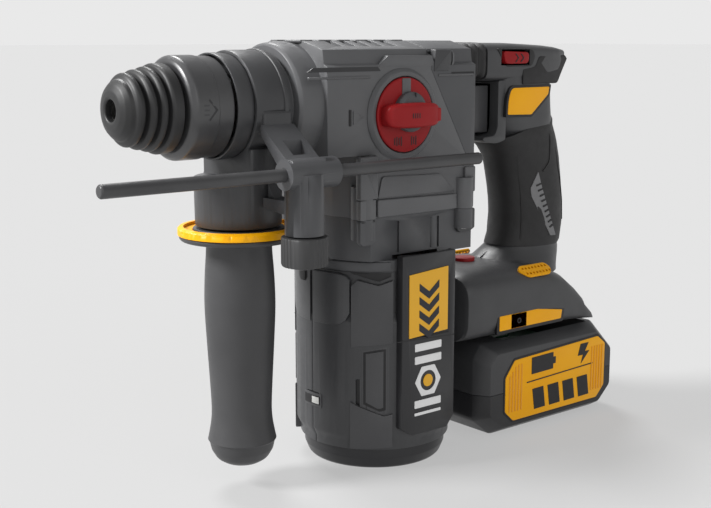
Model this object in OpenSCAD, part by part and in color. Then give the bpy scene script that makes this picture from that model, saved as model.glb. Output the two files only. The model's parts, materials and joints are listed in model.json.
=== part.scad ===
// Cordless rotary hammer with an upright motor, a D-shaped rear handle, a side handle and a battery pack.
// +X points out of the chuck, +Y to the tool's left, +Z up; the origin is the mouth of the tool bore.

/* [Chuck] */
// Diameter of the bore that holds a bit's shank
tool_bore_d = 10.1; // [10.05:0.05:10.3]
// Length of the bore that holds the shank
tool_bore_l = 62; // [55:1:64]
// Outer diameter of the tool holder's nose
holder_d = 22; // [20.5:0.5:22]
// Diameter of each locking ball
ball_d = 6; // [5:0.5:6]
// Distance of the locking balls behind the mouth
ball_back = 38.5; // [37:0.5:40]
// Length of the rubber dust cap
cap_l = 28; // [25:1:28.5]
// Diameter of the dust cap's last flange
cap_d = 43.2; // [38:0.2:46]
// Outer diameter of the locking sleeve
sleeve_d = 50.6; // [46:0.2:51]
// Distance of the sleeve's front edge behind the mouth
sleeve_back = 30; // [29.5:0.5:31]
// Length of the sleeve
sleeve_l = 23.7; // [22:0.1:24]

/* [Nose and gear case] */
// Outer diameter of the nose that the side handle clamps
nose_d = 49.8; // [48:0.2:50]
// Distance of the nose's front end behind the mouth
nose_back = 64; // [63.5:0.5:66]
// Distance of the gear case's front face behind the mouth
case_front_back = 88; // [86:1:92]
// Distance of the gear case's rear face behind the mouth
case_rear_back = 205; // [203:1:240]
// Half width of the gear case
case_half_w = 34; // [33:0.1:40.8]
// Height of the gear case above the spindle axis
case_top = 31.7; // [31:0.1:38]
// Depth of the gear case below the spindle axis
case_bottom = 59; // [58.5:0.5:66]
// Wall of the gear case
case_wall = 4; // [3:0.5:5]

/* [Gears and hammer] */
// Module of the spur gears
gear_module = 1.25; // [1.2:0.05:1.3]
// Teeth of the gear on the spindle
spindle_teeth = 40; // [38:2:40]
// Teeth of the pinion on the intermediate shaft
pinion_teeth = 12; // [12:2:14]
// Width of the spindle gear
gear_w = 8; // [6:0.5:8.5]
// Diameter of the piston
piston_d = 24; // [20:0.5:24]
// Diameter of the striker
striker_d = 17.9; // [16:0.1:18.5]
// Diameter of the beat piece
beat_d = 14; // [12:0.5:15]
// Largest tilt of the wobble ring in degrees
wobble_tilt = 14; // [10:1:14]

/* [Motor] */
// Distance of the motor axis behind the mouth
motor_back = 162; // [160:1:166]
// Outer radius of the motor housing's upper ring
motor_r = 42; // [40:0.1:50.4]
// Distance of the motor housing's lower end below the spindle axis
motor_low = 186; // [180:1:200]
// Height of the bottom cap
cap_h = 11.8; // [10:0.1:14]
// Wall of the motor housing
shell_wall = 3; // [2:0.5:4]
// Outer radius of the stator
stator_r = 31; // [26:0.5:34]
// Radius of the motor shaft
shaft_r = 4; // [3:0.5:5]

/* [Side handle] */
// Diameter of the side grip
grip_d = 35; // [30:0.5:40]
// Distance of the side grip's lower end below the spindle axis
grip_low = 186; // [160:1:196]
// Outer diameter of the guard ring
guard_d = 62; // [52:1:66]
// Diameter of the depth rod
rod_d = 6.4; // [5:0.1:8]
// Length of the depth rod
rod_l = 226; // [160:1:280]
// Distance of the depth rod's tip in front of the mouth
rod_front = 33; // [10:1:60]
// Distance of the depth rod to the left of the spindle axis
rod_side = 50; // [48:0.5:54]
// Distance of the depth rod below the spindle axis
rod_down = 30.2; // [28:0.1:33]
// Diameter of the depth rod's clamping knob
knob_d = 24.6; // [20:0.2:25]

/* [Mode selector] */
// Outer diameter of the selector's dark ring
selector_d = 48; // [44:0.5:52]
// Diameter of the selector's turning disc
dial_d = 39; // [34:0.5:40]
// Height of the selector's finger bar above the disc
dial_bar_h = 9.5; // [7:0.5:12]

/* [Rear handle] */
// Clear depth between the gear case and the grip
finger_gap = 45.5; // [42:0.5:60]
// Depth of the grip, front to back
grip_depth = 50; // [44:1:54]
// Width of the grip
grip_w = 36; // [33:0.5:40]
// Lean of the grip in degrees
grip_lean = 7.5; // [4:0.5:9]
// Half width of the handle's top block
block_half_w = 20; // [18.5:0.5:24]
// Half width of the foot
foot_half_w = 38; // [36:0.5:44]
// Wall of the handle shells
handle_wall = 3; // [2:0.25:3.5]
// Travel of the trigger
trigger_travel = 6; // [4:0.5:7]

/* [Battery] */
// Length of the battery pack
pack_l = 120; // [112:1:144]
// Diameter of one cell
cell_d = 18.3; // [18:0.1:18.5]
// Length of one cell
cell_l = 65; // [60:1:66]

/* [Fits] */
// Radial clearance of a turning or sliding fit
run_fit = 0.05; // [0.02:0.01:0.1]
// Gap between plain faces of pieces that move
gap = 0.4; // [0.3:0.05:0.6]

/* [Hidden] */
$fn = 64;

// Places along X, all behind the mouth and so negative
// The motor's bevel drive, whose teeth and size only mesh as a set
motor_teeth = 7;
face_teeth = 27;
face_module = 1.5;
bore_r = tool_bore_d / 2;
holder_r = holder_d / 2;
lip_x = -4;
shoulder_x = -60;
shoulder_t = 3;
sleeve_x = -sleeve_back;
sleeve_end_x = sleeve_x - sleeve_l;
nose_x = -nose_back;
case_front_x = -case_front_back;
motor_x = -motor_back;
rear_x = -max(case_rear_back, motor_back + motor_r + 1);
front_arc_r = motor_r - 1;
inner_half_w = case_half_w - case_wall - 0.5;

// Spindle and hammer
spindle_r = 13.5;
barrel_r = piston_d / 2 + run_fit + 2.45;
barrel_x = -90;
gear_x = -133;
spindle_end_x = gear_x - gear_w - 1;
front_bearing_x = -66;
front_bearing_w = 12;
front_bearing_r = 21;
rear_bearing_x = -110;
rear_bearing_w = 12;
rear_bearing_r = barrel_r + 4;
beat_front_x = -tool_bore_l - 2;
beat_rear_x = beat_front_x - 24;
piston_front_x = -100;
piston_wall_x = -131;

// Gears
shaft_z = -gear_module * (spindle_teeth + pinion_teeth) / 2;
addendum = 0.8;
dedendum = 1.1;
pressure_angle = 25;
backlash = 0.2;
pinion_w = gear_w + 1;
wobble_x = -152;
hub_r = 11;
ring_r = 16;
shaft_core_r = 6;
journal_r = 5;
shaft_bearing_r = 9.5;
shaft_bearing_w = 7;
shaft_front_x = -125;
shaft_rear_bearing_x = -178;
motor_pinion_r = face_module * motor_teeth / 2;
face_r = face_module * face_teeth / 2;
face_x = motor_x - motor_pinion_r;
face_reach = 2;
finger_r = 3;
pin_r = 4.6;

// Motor
cap_top = -motor_low;
floor_z = -motor_low - cap_h;
ring_z = -82;
shell_top = -88;
barrel_pad_r = motor_r + 2.3;
pad_top = -112;
panel_half_l = 19;
panel_y = barrel_pad_r + 0.8;
upper_bearing_z = -62;
motor_bearing_r = 11;
motor_bearing_w = 7;
rotor_r = 16;
air_gap = 0.6;
stator_top = -104;
stator_h = 56;

// Side handle
side_x = -74.5;
clamp_w = 21.6;
clamp_r = 27.5;
clamp_low = -60;
guard_h = 4;
neck_r = 22.5;
neck_round_z = -35;
bolt_r = 4;
side_axis_x = -71;
knob_x = -75;
knob_top = -60;
knob_h = 15;

// Selector
dial_x = -151.5;
dial_z = -6.1;
dial_shaft_r = 6;
ring_h = 2.6;

// Rear handle
grip_x = rear_x - finger_gap - grip_depth / 2;
block_front_x = rear_x - 24;
frame_x = rear_x - 38;
block_top = 30;
block_low = 8.5;
block_rear_x = grip_x - 14;
grip_top_z = -10;
foot_top = -97;
foot_low = -139;
foot_front_x = rear_x + 6;
foot_rear_x = rear_x - 107;
pivot_x = rear_x - 9;
pivot_z = -122;
pivot_r = 3;
lug_half_w = 10;
rubber_t = 2.6;
gauge_x = rear_x - 27;
gauge_r = 6.4;

// Battery
pack_half_w = foot_half_w;
pack_front_x = rear_x - 7;
pack_rear_x = pack_front_x - pack_l;
pack_top = foot_low - 1.8;
pack_low = floor_z;
pack_mid = pack_top - 15;
tower_half_w = 26;
neck_half_w = 21;
tower_top = -127;
tower_neck_z = -133;
tower_front_x = pack_front_x - 28;
tower_rear_x = foot_rear_x + 4;
label_t = 1;

// Shared shapes
module cyl_x(x0, x1, r, y = 0, z = 0) {
    translate([min(x0, x1), y, z]) rotate([0, 90, 0]) cylinder(h = abs(x1 - x0), r = r);
}
module cyl_y(x, z, y0, y1, r) {
    translate([x, min(y0, y1), z]) rotate([-90, 0, 0]) cylinder(h = abs(y1 - y0), r = r);
}
module cyl_z(x, y, z0, z1, r) {
    translate([x, y, min(z0, z1)]) cylinder(h = abs(z1 - z0), r = r);
}
module ring_x(x0, x1, ro, ri, z = 0) {
    difference() {
        cyl_x(x0, x1, ro, 0, z);
        cyl_x(min(x0, x1) - 1, max(x0, x1) + 1, ri, 0, z);
    }
}
module box(x0, x1, y0, y1, z0, z1) {
    translate([min(x0, x1), min(y0, y1), min(z0, z1)]) cube([abs(x1 - x0), abs(y1 - y0), abs(z1 - z0)]);
}
// A solid turned about X from [radius, x] points
module turned_x(points, z = 0) {
    translate([0, 0, z]) rotate([0, 90, 0]) rotate_extrude() polygon(points);
}
// A plate whose outline is drawn in X and Z, spanning y0 to y1
module plate_xz(y0, y1, points) {
    translate([0, max(y0, y1), 0]) rotate([90, 0, 0]) linear_extrude(abs(y1 - y0)) polygon(points);
}
// A bar whose outline is drawn in Y and Z, spanning x0 to x1
module bar_yz(x0, x1, points) {
    translate([min(x0, x1), 0, 0]) rotate([90, 0, 90]) linear_extrude(abs(x1 - x0)) polygon(points);
}
module both_sides() {
    children();
    mirror([0, 1, 0]) children();
}

// Points of a stub involute gear
function involute(base, r) = let (t = sqrt(max(0, pow(r / base, 2) - 1))) t * 180 / PI - atan(t);
function gear_points(teeth, m) =
    let (
        pitch = m * teeth / 2,
        base = pitch * cos(pressure_angle),
        tip = pitch + addendum * m,
        root = pitch - dedendum * m,
        low = max(base, root + 0.1),
        half = 90 / teeth - backlash / pitch * 180 / PI / 2,
        at_pitch = involute(base, pitch),
        radii = [for (k = [0:3]) low + (tip - low) * k / 3]
    )
    [for (n = [0:teeth - 1]) let (c = n * 360 / teeth) each concat(
        [[root * cos(c - 180 / teeth), root * sin(c - 180 / teeth)]],
        [[root * cos(c - half - at_pitch), root * sin(c - half - at_pitch)]],
        [for (r = radii) let (a = c - half - at_pitch + involute(base, r)) [r * cos(a), r * sin(a)]],
        [for (k = [3:-1:0]) let (r = radii[k], a = c + half + at_pitch - involute(base, r))
        [r * cos(a), r * sin(a)]],
        [[root * cos(c + half + at_pitch), root * sin(c + half + at_pitch)]]
    )];

// A round-wire coil about +X from x = 0 to x = len
module coil(mean_r, wire_r, turns, len) {
    steps = turns * 16;
    sides = 8;
    lead = len - 2 * wire_r;
    function centre(k) = [wire_r + lead * k / steps, mean_r * cos(k * 22.5), mean_r * sin(k * 22.5)];
    points = [for (k = [0:steps]) for (s = [0:sides - 1])
        centre(k) + wire_r * [cos(s * 45), sin(s * 45) * cos(k * 22.5), sin(s * 45) * sin(k * 22.5)]];
    walls = [for (k = [0:steps - 1]) for (s = [0:sides - 1])
        [k * sides + s, (k + 1) * sides + s, (k + 1) * sides + (s + 1) % sides,
        k * sides + (s + 1) % sides]];
    start = [[for (s = [0:sides - 1]) s]];
    finish = [[for (s = [sides - 1:-1:0]) steps * sides + s]];
    polyhedron(points, concat(walls, start, finish));
}

// ---- Chuck ----

module dust_cap() {
    last_r = cap_d / 2;
    steps = [last_r - 7.1, last_r - 4.2, last_r - 2.1, last_r];
    ends = [-6.6, -12.2, -18, -cap_l];
    color("#232223") turned_x([
        [bore_r, lip_x], [bore_r, 0], [9, -0.3], [steps[0] - 1.5, -1.4], [steps[0], -3],
        [steps[0], ends[0]],
        [steps[1] - 0.7, ends[0]], [steps[1], ends[0] - 1], [steps[1], ends[1]],
        [steps[2] - 0.7, ends[1]], [steps[2], ends[1] - 1], [steps[2], ends[2]],
        [steps[3] - 1.2, ends[2]], [steps[3], ends[2] - 1.6], [steps[3], ends[3]],
        [holder_r, ends[3]], [holder_r, lip_x]
    ]);
}

module lock_sleeve() {
    r = sleeve_d / 2;
    ring_front_x = -ball_back + 3.5;
    ring_rear_x = -ball_back - 4.5;
    color("#2b2b2d") turned_x([
        [r - 2.5, sleeve_x], [r, sleeve_x - 2.5], [r, sleeve_x - 15], [r - 0.5, sleeve_x - 15],
        [r - 0.5, sleeve_end_x], [r - 2.7, sleeve_end_x], [r - 2.7, ring_rear_x],
        [holder_r + 1.2, ring_rear_x], [holder_r + 1.2, ring_front_x], [holder_r + 4, ring_front_x],
        [holder_r + 4, sleeve_x]
    ]);
}

module sleeve_spring() {
    from_x = shoulder_x + 0.2;
    to_x = -ball_back - 4.7;
    color("silver") translate([from_x, 0, 0]) coil(holder_r + 3.2, 1.1, 4, to_x - from_x);
}

module tool_holder() {
    guide_r = beat_d / 2 + run_fit;
    barrel_bore_r = piston_d / 2 + run_fit;
    color("#9a9a9d") difference() {
        turned_x([
            [bore_r, lip_x], [holder_r, lip_x], [holder_r, shoulder_x], [holder_r + 5.5, shoulder_x],
            [holder_r + 5.5, shoulder_x - shoulder_t], [spindle_r, shoulder_x - shoulder_t],
            [spindle_r, barrel_x], [barrel_r, barrel_x], [barrel_r, spindle_end_x],
            [barrel_bore_r, spindle_end_x], [barrel_bore_r, barrel_x], [guide_r, barrel_x],
            [guide_r, -tool_bore_l], [bore_r, -tool_bore_l]
        ]);
        for (side = [0, 180]) rotate([side, 0, 0]) translate([-ball_back, 0, 0]) {
            translate([0, 0, bore_r - 1]) cylinder(h = 3.5, r1 = 1.4, r2 = ball_d / 2 + run_fit);
            translate([0, 0, bore_r + 2.4]) cylinder(h = holder_r, r = ball_d / 2 + run_fit);
        }
    }
}

module lock_balls() {
    color("#c8c8cc") for (side = [0, 180]) rotate([side, 0, 0])
        translate([-ball_back, 0, bore_r + 0.75 + ball_d / 2]) sphere(d = ball_d);
}

module nose_ring() {
    r = sleeve_d / 2 - 0.5 + gap;
    web_x = nose_x + 2;
    color("#3a3a3c") turned_x([
        [r, sleeve_end_x - 0.6], [r + 1.1, sleeve_end_x - 0.6], [r + 1.1, sleeve_end_x - 5],
        [r + 0.6, nose_x],
        [holder_r + 6, nose_x], [holder_r + 6, web_x], [r, web_x]
    ]);
}

// ---- Gear case ----

function case_outline(w, wall) = [
    [-w + wall, -case_bottom - 1], [w - wall, -case_bottom - 1], [w - wall, 19 - wall],
    [w - 3 - wall, 20.5 - wall], [w - 4 - wall, case_top - 4.2 - wall], [w - 20, case_top - wall],
    [20 - w, case_top - wall], [4 - w + wall, case_top - 4.2 - wall], [3 - w + wall, 20.5 - wall],
    [wall - w, 19 - wall]
];

// The plan of the lower case: a blunt front ahead of the motor axis and a straight rear
module case_plan(inset) {
    front = motor_x + front_arc_r - inset;
    w = case_half_w - inset;
    polygon([
        [front, 14], [front - 3, 23], [front - 9, w], [rear_x + inset, w],
        [rear_x + inset, -w], [front - 9, -w], [front - 3, -23], [front, -14]
    ]);
}

screw_places = [[motor_x + front_arc_r - 6, case_half_w - 3], [rear_x + 8, case_half_w - 1]];
seam_top_x = rear_x + 33;
seam_low_x = rear_x + 5;
seam_low_z = -32;

// The space of the separate rear cover, grown by a clearance
module cover_space(grow) {
    plate_xz(-case_half_w - 5, case_half_w + 5, [
        [seam_top_x + grow, case_top + 5], [seam_top_x + grow, 17], [seam_low_x + grow, seam_low_z],
        [rear_x - 5, seam_low_z], [rear_x - 5, case_top + 5]
    ]);
}

module case_body() {
    turned_x([
        [0, nose_x], [nose_d / 2, nose_x], [nose_d / 2, case_front_x], [29.5, case_front_x],
        [case_top - 0.8, case_front_x - 1.5], [case_top, case_front_x - 7], [case_top, -126], [0, -126]
    ]);
    intersection() {
        bar_yz(-102, rear_x, case_outline(case_half_w, 0));
        union() {
            translate([0, 0, -case_bottom]) linear_extrude(2 * case_bottom) case_plan(0);
            box(-102, motor_x, -50, 50, -26, 60);
        }
    }
    both_sides() for (p = screw_places) cyl_z(p[0], p[1], -case_bottom, -case_bottom + 17, 6);
}

module gear_housing() {
    boss_x = shaft_front_x - shaft_bearing_w;
    color("#58595b") difference() {
        union() {
            difference() {
                case_body();
                intersection() {
                    bar_yz(-124, rear_x + case_wall, case_outline(case_half_w, case_wall));
                    union() {
                        translate([0, 0, -case_bottom - 1]) linear_extrude(2 * case_bottom)
                            case_plan(case_wall);
                        box(-124, motor_x, -50, 50, -26 + case_wall, 60);
                    }
                }
            }
            cyl_x(-121.5, boss_x, shaft_bearing_r + 2.5, 0, shaft_z);
            intersection() {
                box(shaft_rear_bearing_x - shaft_bearing_w - 1, shaft_rear_bearing_x - 1,
                    -inner_half_w - 1, inner_half_w + 1, -case_bottom + 1, shaft_z + shaft_bearing_r + 3);
                translate([0, 0, -case_bottom]) linear_extrude(2 * case_bottom) case_plan(case_wall / 2);
            }
        }
        cyl_x(nose_x + 1, front_bearing_x - front_bearing_w, front_bearing_r);
        cyl_x(front_bearing_x - front_bearing_w - 4, rear_bearing_x, barrel_r + 2);
        cyl_x(front_bearing_x - 2, rear_bearing_x, spindle_r + 3);
        cyl_x(rear_bearing_x, -125, rear_bearing_r);
        cyl_x(shaft_front_x, boss_x - 1, shaft_bearing_r, 0, shaft_z);
        cyl_x(shaft_rear_bearing_x + 1, shaft_rear_bearing_x - shaft_bearing_w, shaft_bearing_r, 0,
            shaft_z);
        cyl_x(shaft_rear_bearing_x, shaft_rear_bearing_x - shaft_bearing_w - 3, journal_r + 1, 0,
            shaft_z);
        cover_space(0.1);
        cyl_y(dial_x, dial_z, 0, case_half_w + 5, dial_shaft_r + run_fit);
        both_sides() for (p = screw_places) cyl_z(p[0], p[1], -case_bottom - 1, -case_bottom + 13, 2.2);
        both_sides() for (k = [0:4]) box(-116 - 9 * k, -120 - 9 * k, 13, 24, case_top - 3.6,
            case_top + 2);
    }
}

module rear_cover() {
    color("#4a4b4d") difference() {
        intersection() {
            cover_space(0);
            bar_yz(-102, rear_x, case_outline(case_half_w, 0));
        }
        difference() {
            bar_yz(-124, rear_x + case_wall, case_outline(case_half_w, case_wall));
            box(rear_x - 1, rear_x + 60, -50, 50, seam_low_z - 40, seam_low_z + 2.5);
        }
        both_sides() box(seam_top_x + 1, seam_top_x - 13, case_half_w - 5, case_half_w + 2, 24.8, 26);
    }
}

module mid_housing() {
    bearing_top = upper_bearing_z;
    color("#3f3f41") difference() {
        union() {
            translate([0, 0, ring_z]) linear_extrude(-case_bottom - ring_z - 0.1) case_plan(0.8);
            cyl_z(motor_x, 0, ring_z, shell_top, motor_r - 0.2);
            both_sides() for (p = screw_places)
                cyl_z(p[0], p[1], -case_bottom - 0.1, -case_bottom - 11, 6);
        }
        cyl_z(motor_x, 0, ring_z + 2, shell_top - 1, motor_r - 5);
        intersection() {
            cyl_z(motor_x, 0, -72, shell_top, motor_r - 5);
            box(0, -300, -inner_half_w, inner_half_w, -100, 0);
        }
        cyl_z(motor_x, 0, bearing_top, bearing_top - motor_bearing_w, motor_bearing_r);
        cyl_z(motor_x, 0, -case_bottom + 1, -75, motor_bearing_r - 3);
        both_sides() for (p = screw_places) cyl_z(p[0], p[1], -case_bottom + 1, -case_bottom - 12, 2.2);
        both_sides() for (x = [-149, -173, -178])
            box(x, x - 1.6, case_half_w - 2, case_half_w + 2, -79, -62);
        both_sides() for (p = screw_places) cyl_z(p[0], p[1], -case_bottom - 8, -case_bottom - 12, 4.2);
    }
}

module housing_screws() {
    color("silver") both_sides() for (p = screw_places) difference() {
        union() {
            cyl_z(p[0], p[1], -case_bottom + 12, -case_bottom - 8, 2.2);
            cyl_z(p[0], p[1], -case_bottom - 8, -case_bottom - 11.5, 3.9);
        }
        cyl_z(p[0], p[1], -case_bottom - 9.5, -case_bottom - 12, 1.9);
    }
}

// ---- Motor ----

function panel_outline(grow) = [
    [motor_x + panel_half_l + grow, ring_z + 3 + grow], [motor_x + panel_half_l + grow, cap_top + 13],
    [motor_x + panel_half_l - 8, cap_top + 8 - grow], [motor_x - 14, cap_top + 8 - grow],
    [motor_x - panel_half_l - grow, cap_top + 14], [motor_x - panel_half_l - grow, ring_z + 3 + grow]
];

module motor_shell() {
    difference() {
        union() {
            cyl_z(motor_x, 0, shell_top, cap_top, motor_r);
            translate([motor_x, 0, 0]) rotate_extrude() polygon([
                [0, pad_top + 2], [motor_r - 0.5, pad_top + 2], [barrel_pad_r, pad_top - 3],
                [barrel_pad_r, cap_top + 9], [motor_r - 0.5, cap_top + 3], [0, cap_top + 3]
            ]);
            box(motor_x - motor_r + 3, pivot_x - 8, -lug_half_w, lug_half_w, pivot_z - 10, pivot_z + 10);
        }
        cyl_z(motor_x, 0, shell_top + 1, cap_top - 1, motor_r - shell_wall);
        cyl_y(pivot_x, pivot_z, -20, 20, pivot_r + run_fit);
        for (a = [38, 46, 54, 306, 314, 322, 126, 134, 226, 234]) translate([motor_x, 0, 0])
            rotate([0, 0, a])
            box(motor_r - 8, motor_r + 8, -1.1, 1.1, cap_top + 14, cap_top + 40);
        box(motor_x + motor_r - 8, motor_x + motor_r + 8, -5, 5, cap_top + 24, cap_top + 29);
    }
}

module motor_shell_left() {
    color("#3c3c3e") intersection() {
        motor_shell();
        box(-300, 0, 0, 80, -200, 0);
    }
}

module motor_shell_right() {
    color("#3c3c3e") intersection() {
        motor_shell();
        box(-300, 0, -80, 0, -200, 0);
    }
}

module side_panel(side) {
    color("#333335") difference() {
        plate_xz(side * (motor_r - 8), side * panel_y, panel_outline(0));
        translate([motor_x, 0, -200]) cylinder(h = 200, r = barrel_pad_r, $fn = 192);
        plate_xz(side * (panel_y - 0.8), side * (panel_y + 1), [
            [motor_x + 14, ring_z - 10], [motor_x + 14, ring_z - 42], [motor_x - 15, ring_z - 42],
            [motor_x - 15, ring_z - 10]
        ]);
    }
}
module side_panel_left() { side_panel(1); }
module side_panel_right() { side_panel(-1); }

module motor_cap() {
    r = motor_r - 2.2;
    seat_r = motor_bearing_r;
    color("#333335") difference() {
        translate([motor_x, 0, 0]) rotate_extrude() polygon([
            [0, floor_z], [r - 2.1, floor_z], [r, floor_z + 5], [r, cap_top - 0.2], [0, cap_top - 0.2]
        ]);
        difference() {
            cyl_z(motor_x, 0, floor_z + 3, cap_top + 1, r - 3.5);
            cyl_z(motor_x, 0, floor_z, cap_top + 1, seat_r + 3);
        }
        cyl_z(motor_x, 0, floor_z + 3, cap_top + 1, seat_r);
        for (a = [0:30:330]) translate([motor_x, 0, 0]) rotate([0, 0, a + 15])
            box(r - 9, r + 2, -2.2, 2.2, cap_top - 1.5, cap_top - 4.5);
    }
}

module stator() {
    inner_r = rotor_r + air_gap;
    color("#8a5a2c") translate([motor_x, 0, stator_top - stator_h]) {
        difference() {
            cylinder(h = stator_h, r = stator_r);
            translate([0, 0, -1]) cylinder(h = stator_h + 2, r = stator_r - 4.5);
        }
        for (k = [0:8]) rotate([0, 0, 40 * k]) {
            difference() {
                translate([inner_r - 1.5, -3, 6]) cube([stator_r - inner_r - 1, 6, stator_h - 12]);
                translate([0, 0, -1]) cylinder(h = stator_h + 2, r = inner_r);
            }
            translate([inner_r + 2, -4.2, 2]) cube([stator_r - inner_r - 5, 8.4, stator_h - 4]);
        }
    }
}

module rotor() {
    color("#a9a9ad") translate([motor_x, 0, 0]) difference() {
        union() {
            cyl_z(0, 0, -58.5, cap_top - 5, shaft_r);
            cyl_z(0, 0, stator_top - 1, stator_top - stator_h + 1, rotor_r);
            translate([0, 0, -59]) linear_extrude(8.5) rotate(180)
                polygon(gear_points(motor_teeth, face_module));
        }
        for (k = [0:7]) rotate([0, 0, 45 * k]) translate([rotor_r - 3.2, -3.5, stator_top - stator_h])
            cube([1.6, 7, stator_h]);
    }
}

module fan() {
    hub_z = stator_top - stator_h - 13;
    color("#202022") translate([motor_x, 0, 0]) {
        difference() {
            union() {
                cyl_z(0, 0, hub_z, hub_z + 2, stator_r - 1);
                cyl_z(0, 0, hub_z, hub_z + 9, shaft_r + 4);
            }
            cyl_z(0, 0, hub_z - 1, hub_z + 12, shaft_r);
        }
        for (k = [0:10]) rotate([0, 0, k * 360 / 11]) translate([stator_r / 2 - 3, 0, hub_z + 1.5])
            rotate([0, 0, 24]) cube([stator_r / 2 - 1, 1.3, 7]);
    }
}

module bearing_z(z0) {
    difference() {
        cyl_z(motor_x, 0, z0, z0 - motor_bearing_w, motor_bearing_r);
        cyl_z(motor_x, 0, z0 + 1, z0 - motor_bearing_w - 1, shaft_r + run_fit);
        difference() {
            cyl_z(motor_x, 0, z0 + 1, z0 - 0.5, motor_bearing_r - 1.8);
            cyl_z(motor_x, 0, z0 + 2, z0 - 1, shaft_r + 1.8);
        }
    }
}
module motor_bearings() {
    color("#b9b9bd") {
        bearing_z(upper_bearing_z);
        bearing_z(cap_top - 0.5);
    }
}

// ---- Gear train and hammer ----

module drive_bearings() {
    color("#b9b9bd") {
        ring_x(front_bearing_x, front_bearing_x - front_bearing_w, front_bearing_r, spindle_r + run_fit);
        ring_x(rear_bearing_x, rear_bearing_x - rear_bearing_w, rear_bearing_r, barrel_r + run_fit);
        ring_x(shaft_front_x, shaft_front_x - shaft_bearing_w, shaft_bearing_r, journal_r + run_fit,
            shaft_z);
        ring_x(shaft_rear_bearing_x, shaft_rear_bearing_x - shaft_bearing_w, shaft_bearing_r,
            journal_r + run_fit, shaft_z);
    }
}

module spindle_gear() {
    color("#8e8e92") difference() {
        translate([gear_x - gear_w, 0, 0]) rotate([0, 90, 0]) rotate(180 / spindle_teeth)
            linear_extrude(gear_w) polygon(gear_points(spindle_teeth, gear_module));
        cyl_x(gear_x - gear_w - 1, gear_x + 1, barrel_r);
        for (k = [0:7]) rotate([45 * k, 0, 0])
            cyl_x(gear_x - gear_w - 1, gear_x + 1, 2, 0,
                (barrel_r + gear_module * spindle_teeth / 2) / 2);
    }
}

module intermediate_shaft() {
    color("#97979b") {
        cyl_x(shaft_front_x - 0.5, gear_x + 0.4, journal_r, 0, shaft_z);
        translate([gear_x + 0.4 - pinion_w, 0, shaft_z]) rotate([0, 90, 0])
            linear_extrude(pinion_w) polygon(gear_points(pinion_teeth, gear_module));
        cyl_x(gear_x + 1 - pinion_w, shaft_rear_bearing_x + 0.6, shaft_core_r, 0, shaft_z);
        cyl_x(shaft_rear_bearing_x + 1, shaft_rear_bearing_x - shaft_bearing_w - 1, journal_r, 0,
            shaft_z);
    }
}

module face_gear() {
    rim = face_r + face_reach;
    root_x = face_x - dedendum * face_module - 0.2;
    pitch_w = PI * face_module / 2 - 0.9;
    tip_w = pitch_w - 2 * addendum * face_module * tan(pressure_angle);
    root_w = pitch_w + 2 * dedendum * face_module * tan(pressure_angle);
    color("#8e8e92") difference() {
        union() {
            cyl_x(root_x - 5, root_x, rim + 0.6, 0, shaft_z);
            cyl_x(root_x - 5, root_x + 1, shaft_core_r + 4, 0, shaft_z);
            for (k = [0:face_teeth - 1]) translate([0, 0, shaft_z])
                rotate([(k + 0.5) * 360 / face_teeth, 0, 0])
                translate([0, 0, -rim]) linear_extrude(2 * face_reach) polygon([
                    [root_x - 0.5, -root_w / 2], [face_x + addendum * face_module, -tip_w / 2],
                    [face_x + addendum * face_module, tip_w / 2], [root_x - 0.5, root_w / 2]
                ]);
        }
        cyl_x(root_x - 6, root_x + 6, shaft_core_r, 0, shaft_z);
    }
}

module wobble_hub() {
    color("#9d9da1") translate([wobble_x, 0, shaft_z]) difference() {
        intersection() {
            sphere(hub_r);
            rotate([0, 90, 0]) cylinder(h = 18, r = hub_r + 1, center = true);
        }
        rotate([0, 90, 0]) cylinder(h = 20, r = shaft_core_r, center = true);
        rotate([0, 90 + wobble_tilt, 0]) rotate_extrude() translate([hub_r, 0]) circle(1.6, $fn = 32);
    }
}

module wobble_ring() {
    color("#7d7d81") translate([wobble_x, 0, shaft_z]) {
        difference() {
            union() {
                rotate([0, 90, 0]) cylinder(h = 8, r = ring_r, center = true);
                cylinder(h = -shaft_z + pin_r, r = finger_r);
            }
            sphere(hub_r + 0.3);
        }
    }
}

module piston() {
    r = piston_d / 2;
    ear_x = wobble_x + 12;
    color("#b7b7bb") difference() {
        cyl_x(piston_front_x, wobble_x - 9, r);
        cyl_x(piston_front_x + 1, piston_wall_x, striker_d / 2 + run_fit);
        box(ear_x, wobble_x - 12, -5.2, 5.2, -r - 1, r + 1);
        cyl_y(wobble_x, 0, -r - 1, r + 1, pin_r + run_fit);
    }
}

module piston_pin() {
    r = piston_d / 2;
    half = sqrt(r * r - pin_r * pin_r) - 0.6;
    color("#a3a3a7") difference() {
        cyl_y(wobble_x, 0, -half, half, pin_r);
        cyl_z(wobble_x, 0, -pin_r - 1, pin_r + 1, finger_r + 0.3);
    }
}

module striker() {
    r = striker_d / 2;
    color("#8b8b8f") turned_x([
        [0, -95], [4.6, -95], [5, -95.6], [5, -100], [r - 1, -100], [r, -101], [r, -106], [r - 1.2, -106],
        [r - 1.2, -109], [r, -109], [r, -117], [r - 1, -118], [0, -118]
    ]);
}

module beat_piece() {
    r = beat_d / 2;
    color("#8b8b8f") turned_x([
        [0, beat_front_x], [4.4, beat_front_x], [4.8, beat_front_x - 0.6], [4.8, beat_front_x - 8],
        [r - 0.8, beat_front_x - 8], [r, beat_front_x - 9], [r, beat_rear_x + 3],
        [r - 1.5, beat_rear_x + 2],
        [r - 1.5, beat_rear_x], [0, beat_rear_x]
    ]);
}

// ---- Mode selector ----

module selector_ring() {
    color("#262628") difference() {
        cyl_y(dial_x, dial_z, case_half_w, case_half_w + ring_h, selector_d / 2);
        cyl_y(dial_x, dial_z, case_half_w - 1, case_half_w + ring_h + 1, dial_d / 2 + gap);
    }
}

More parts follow.
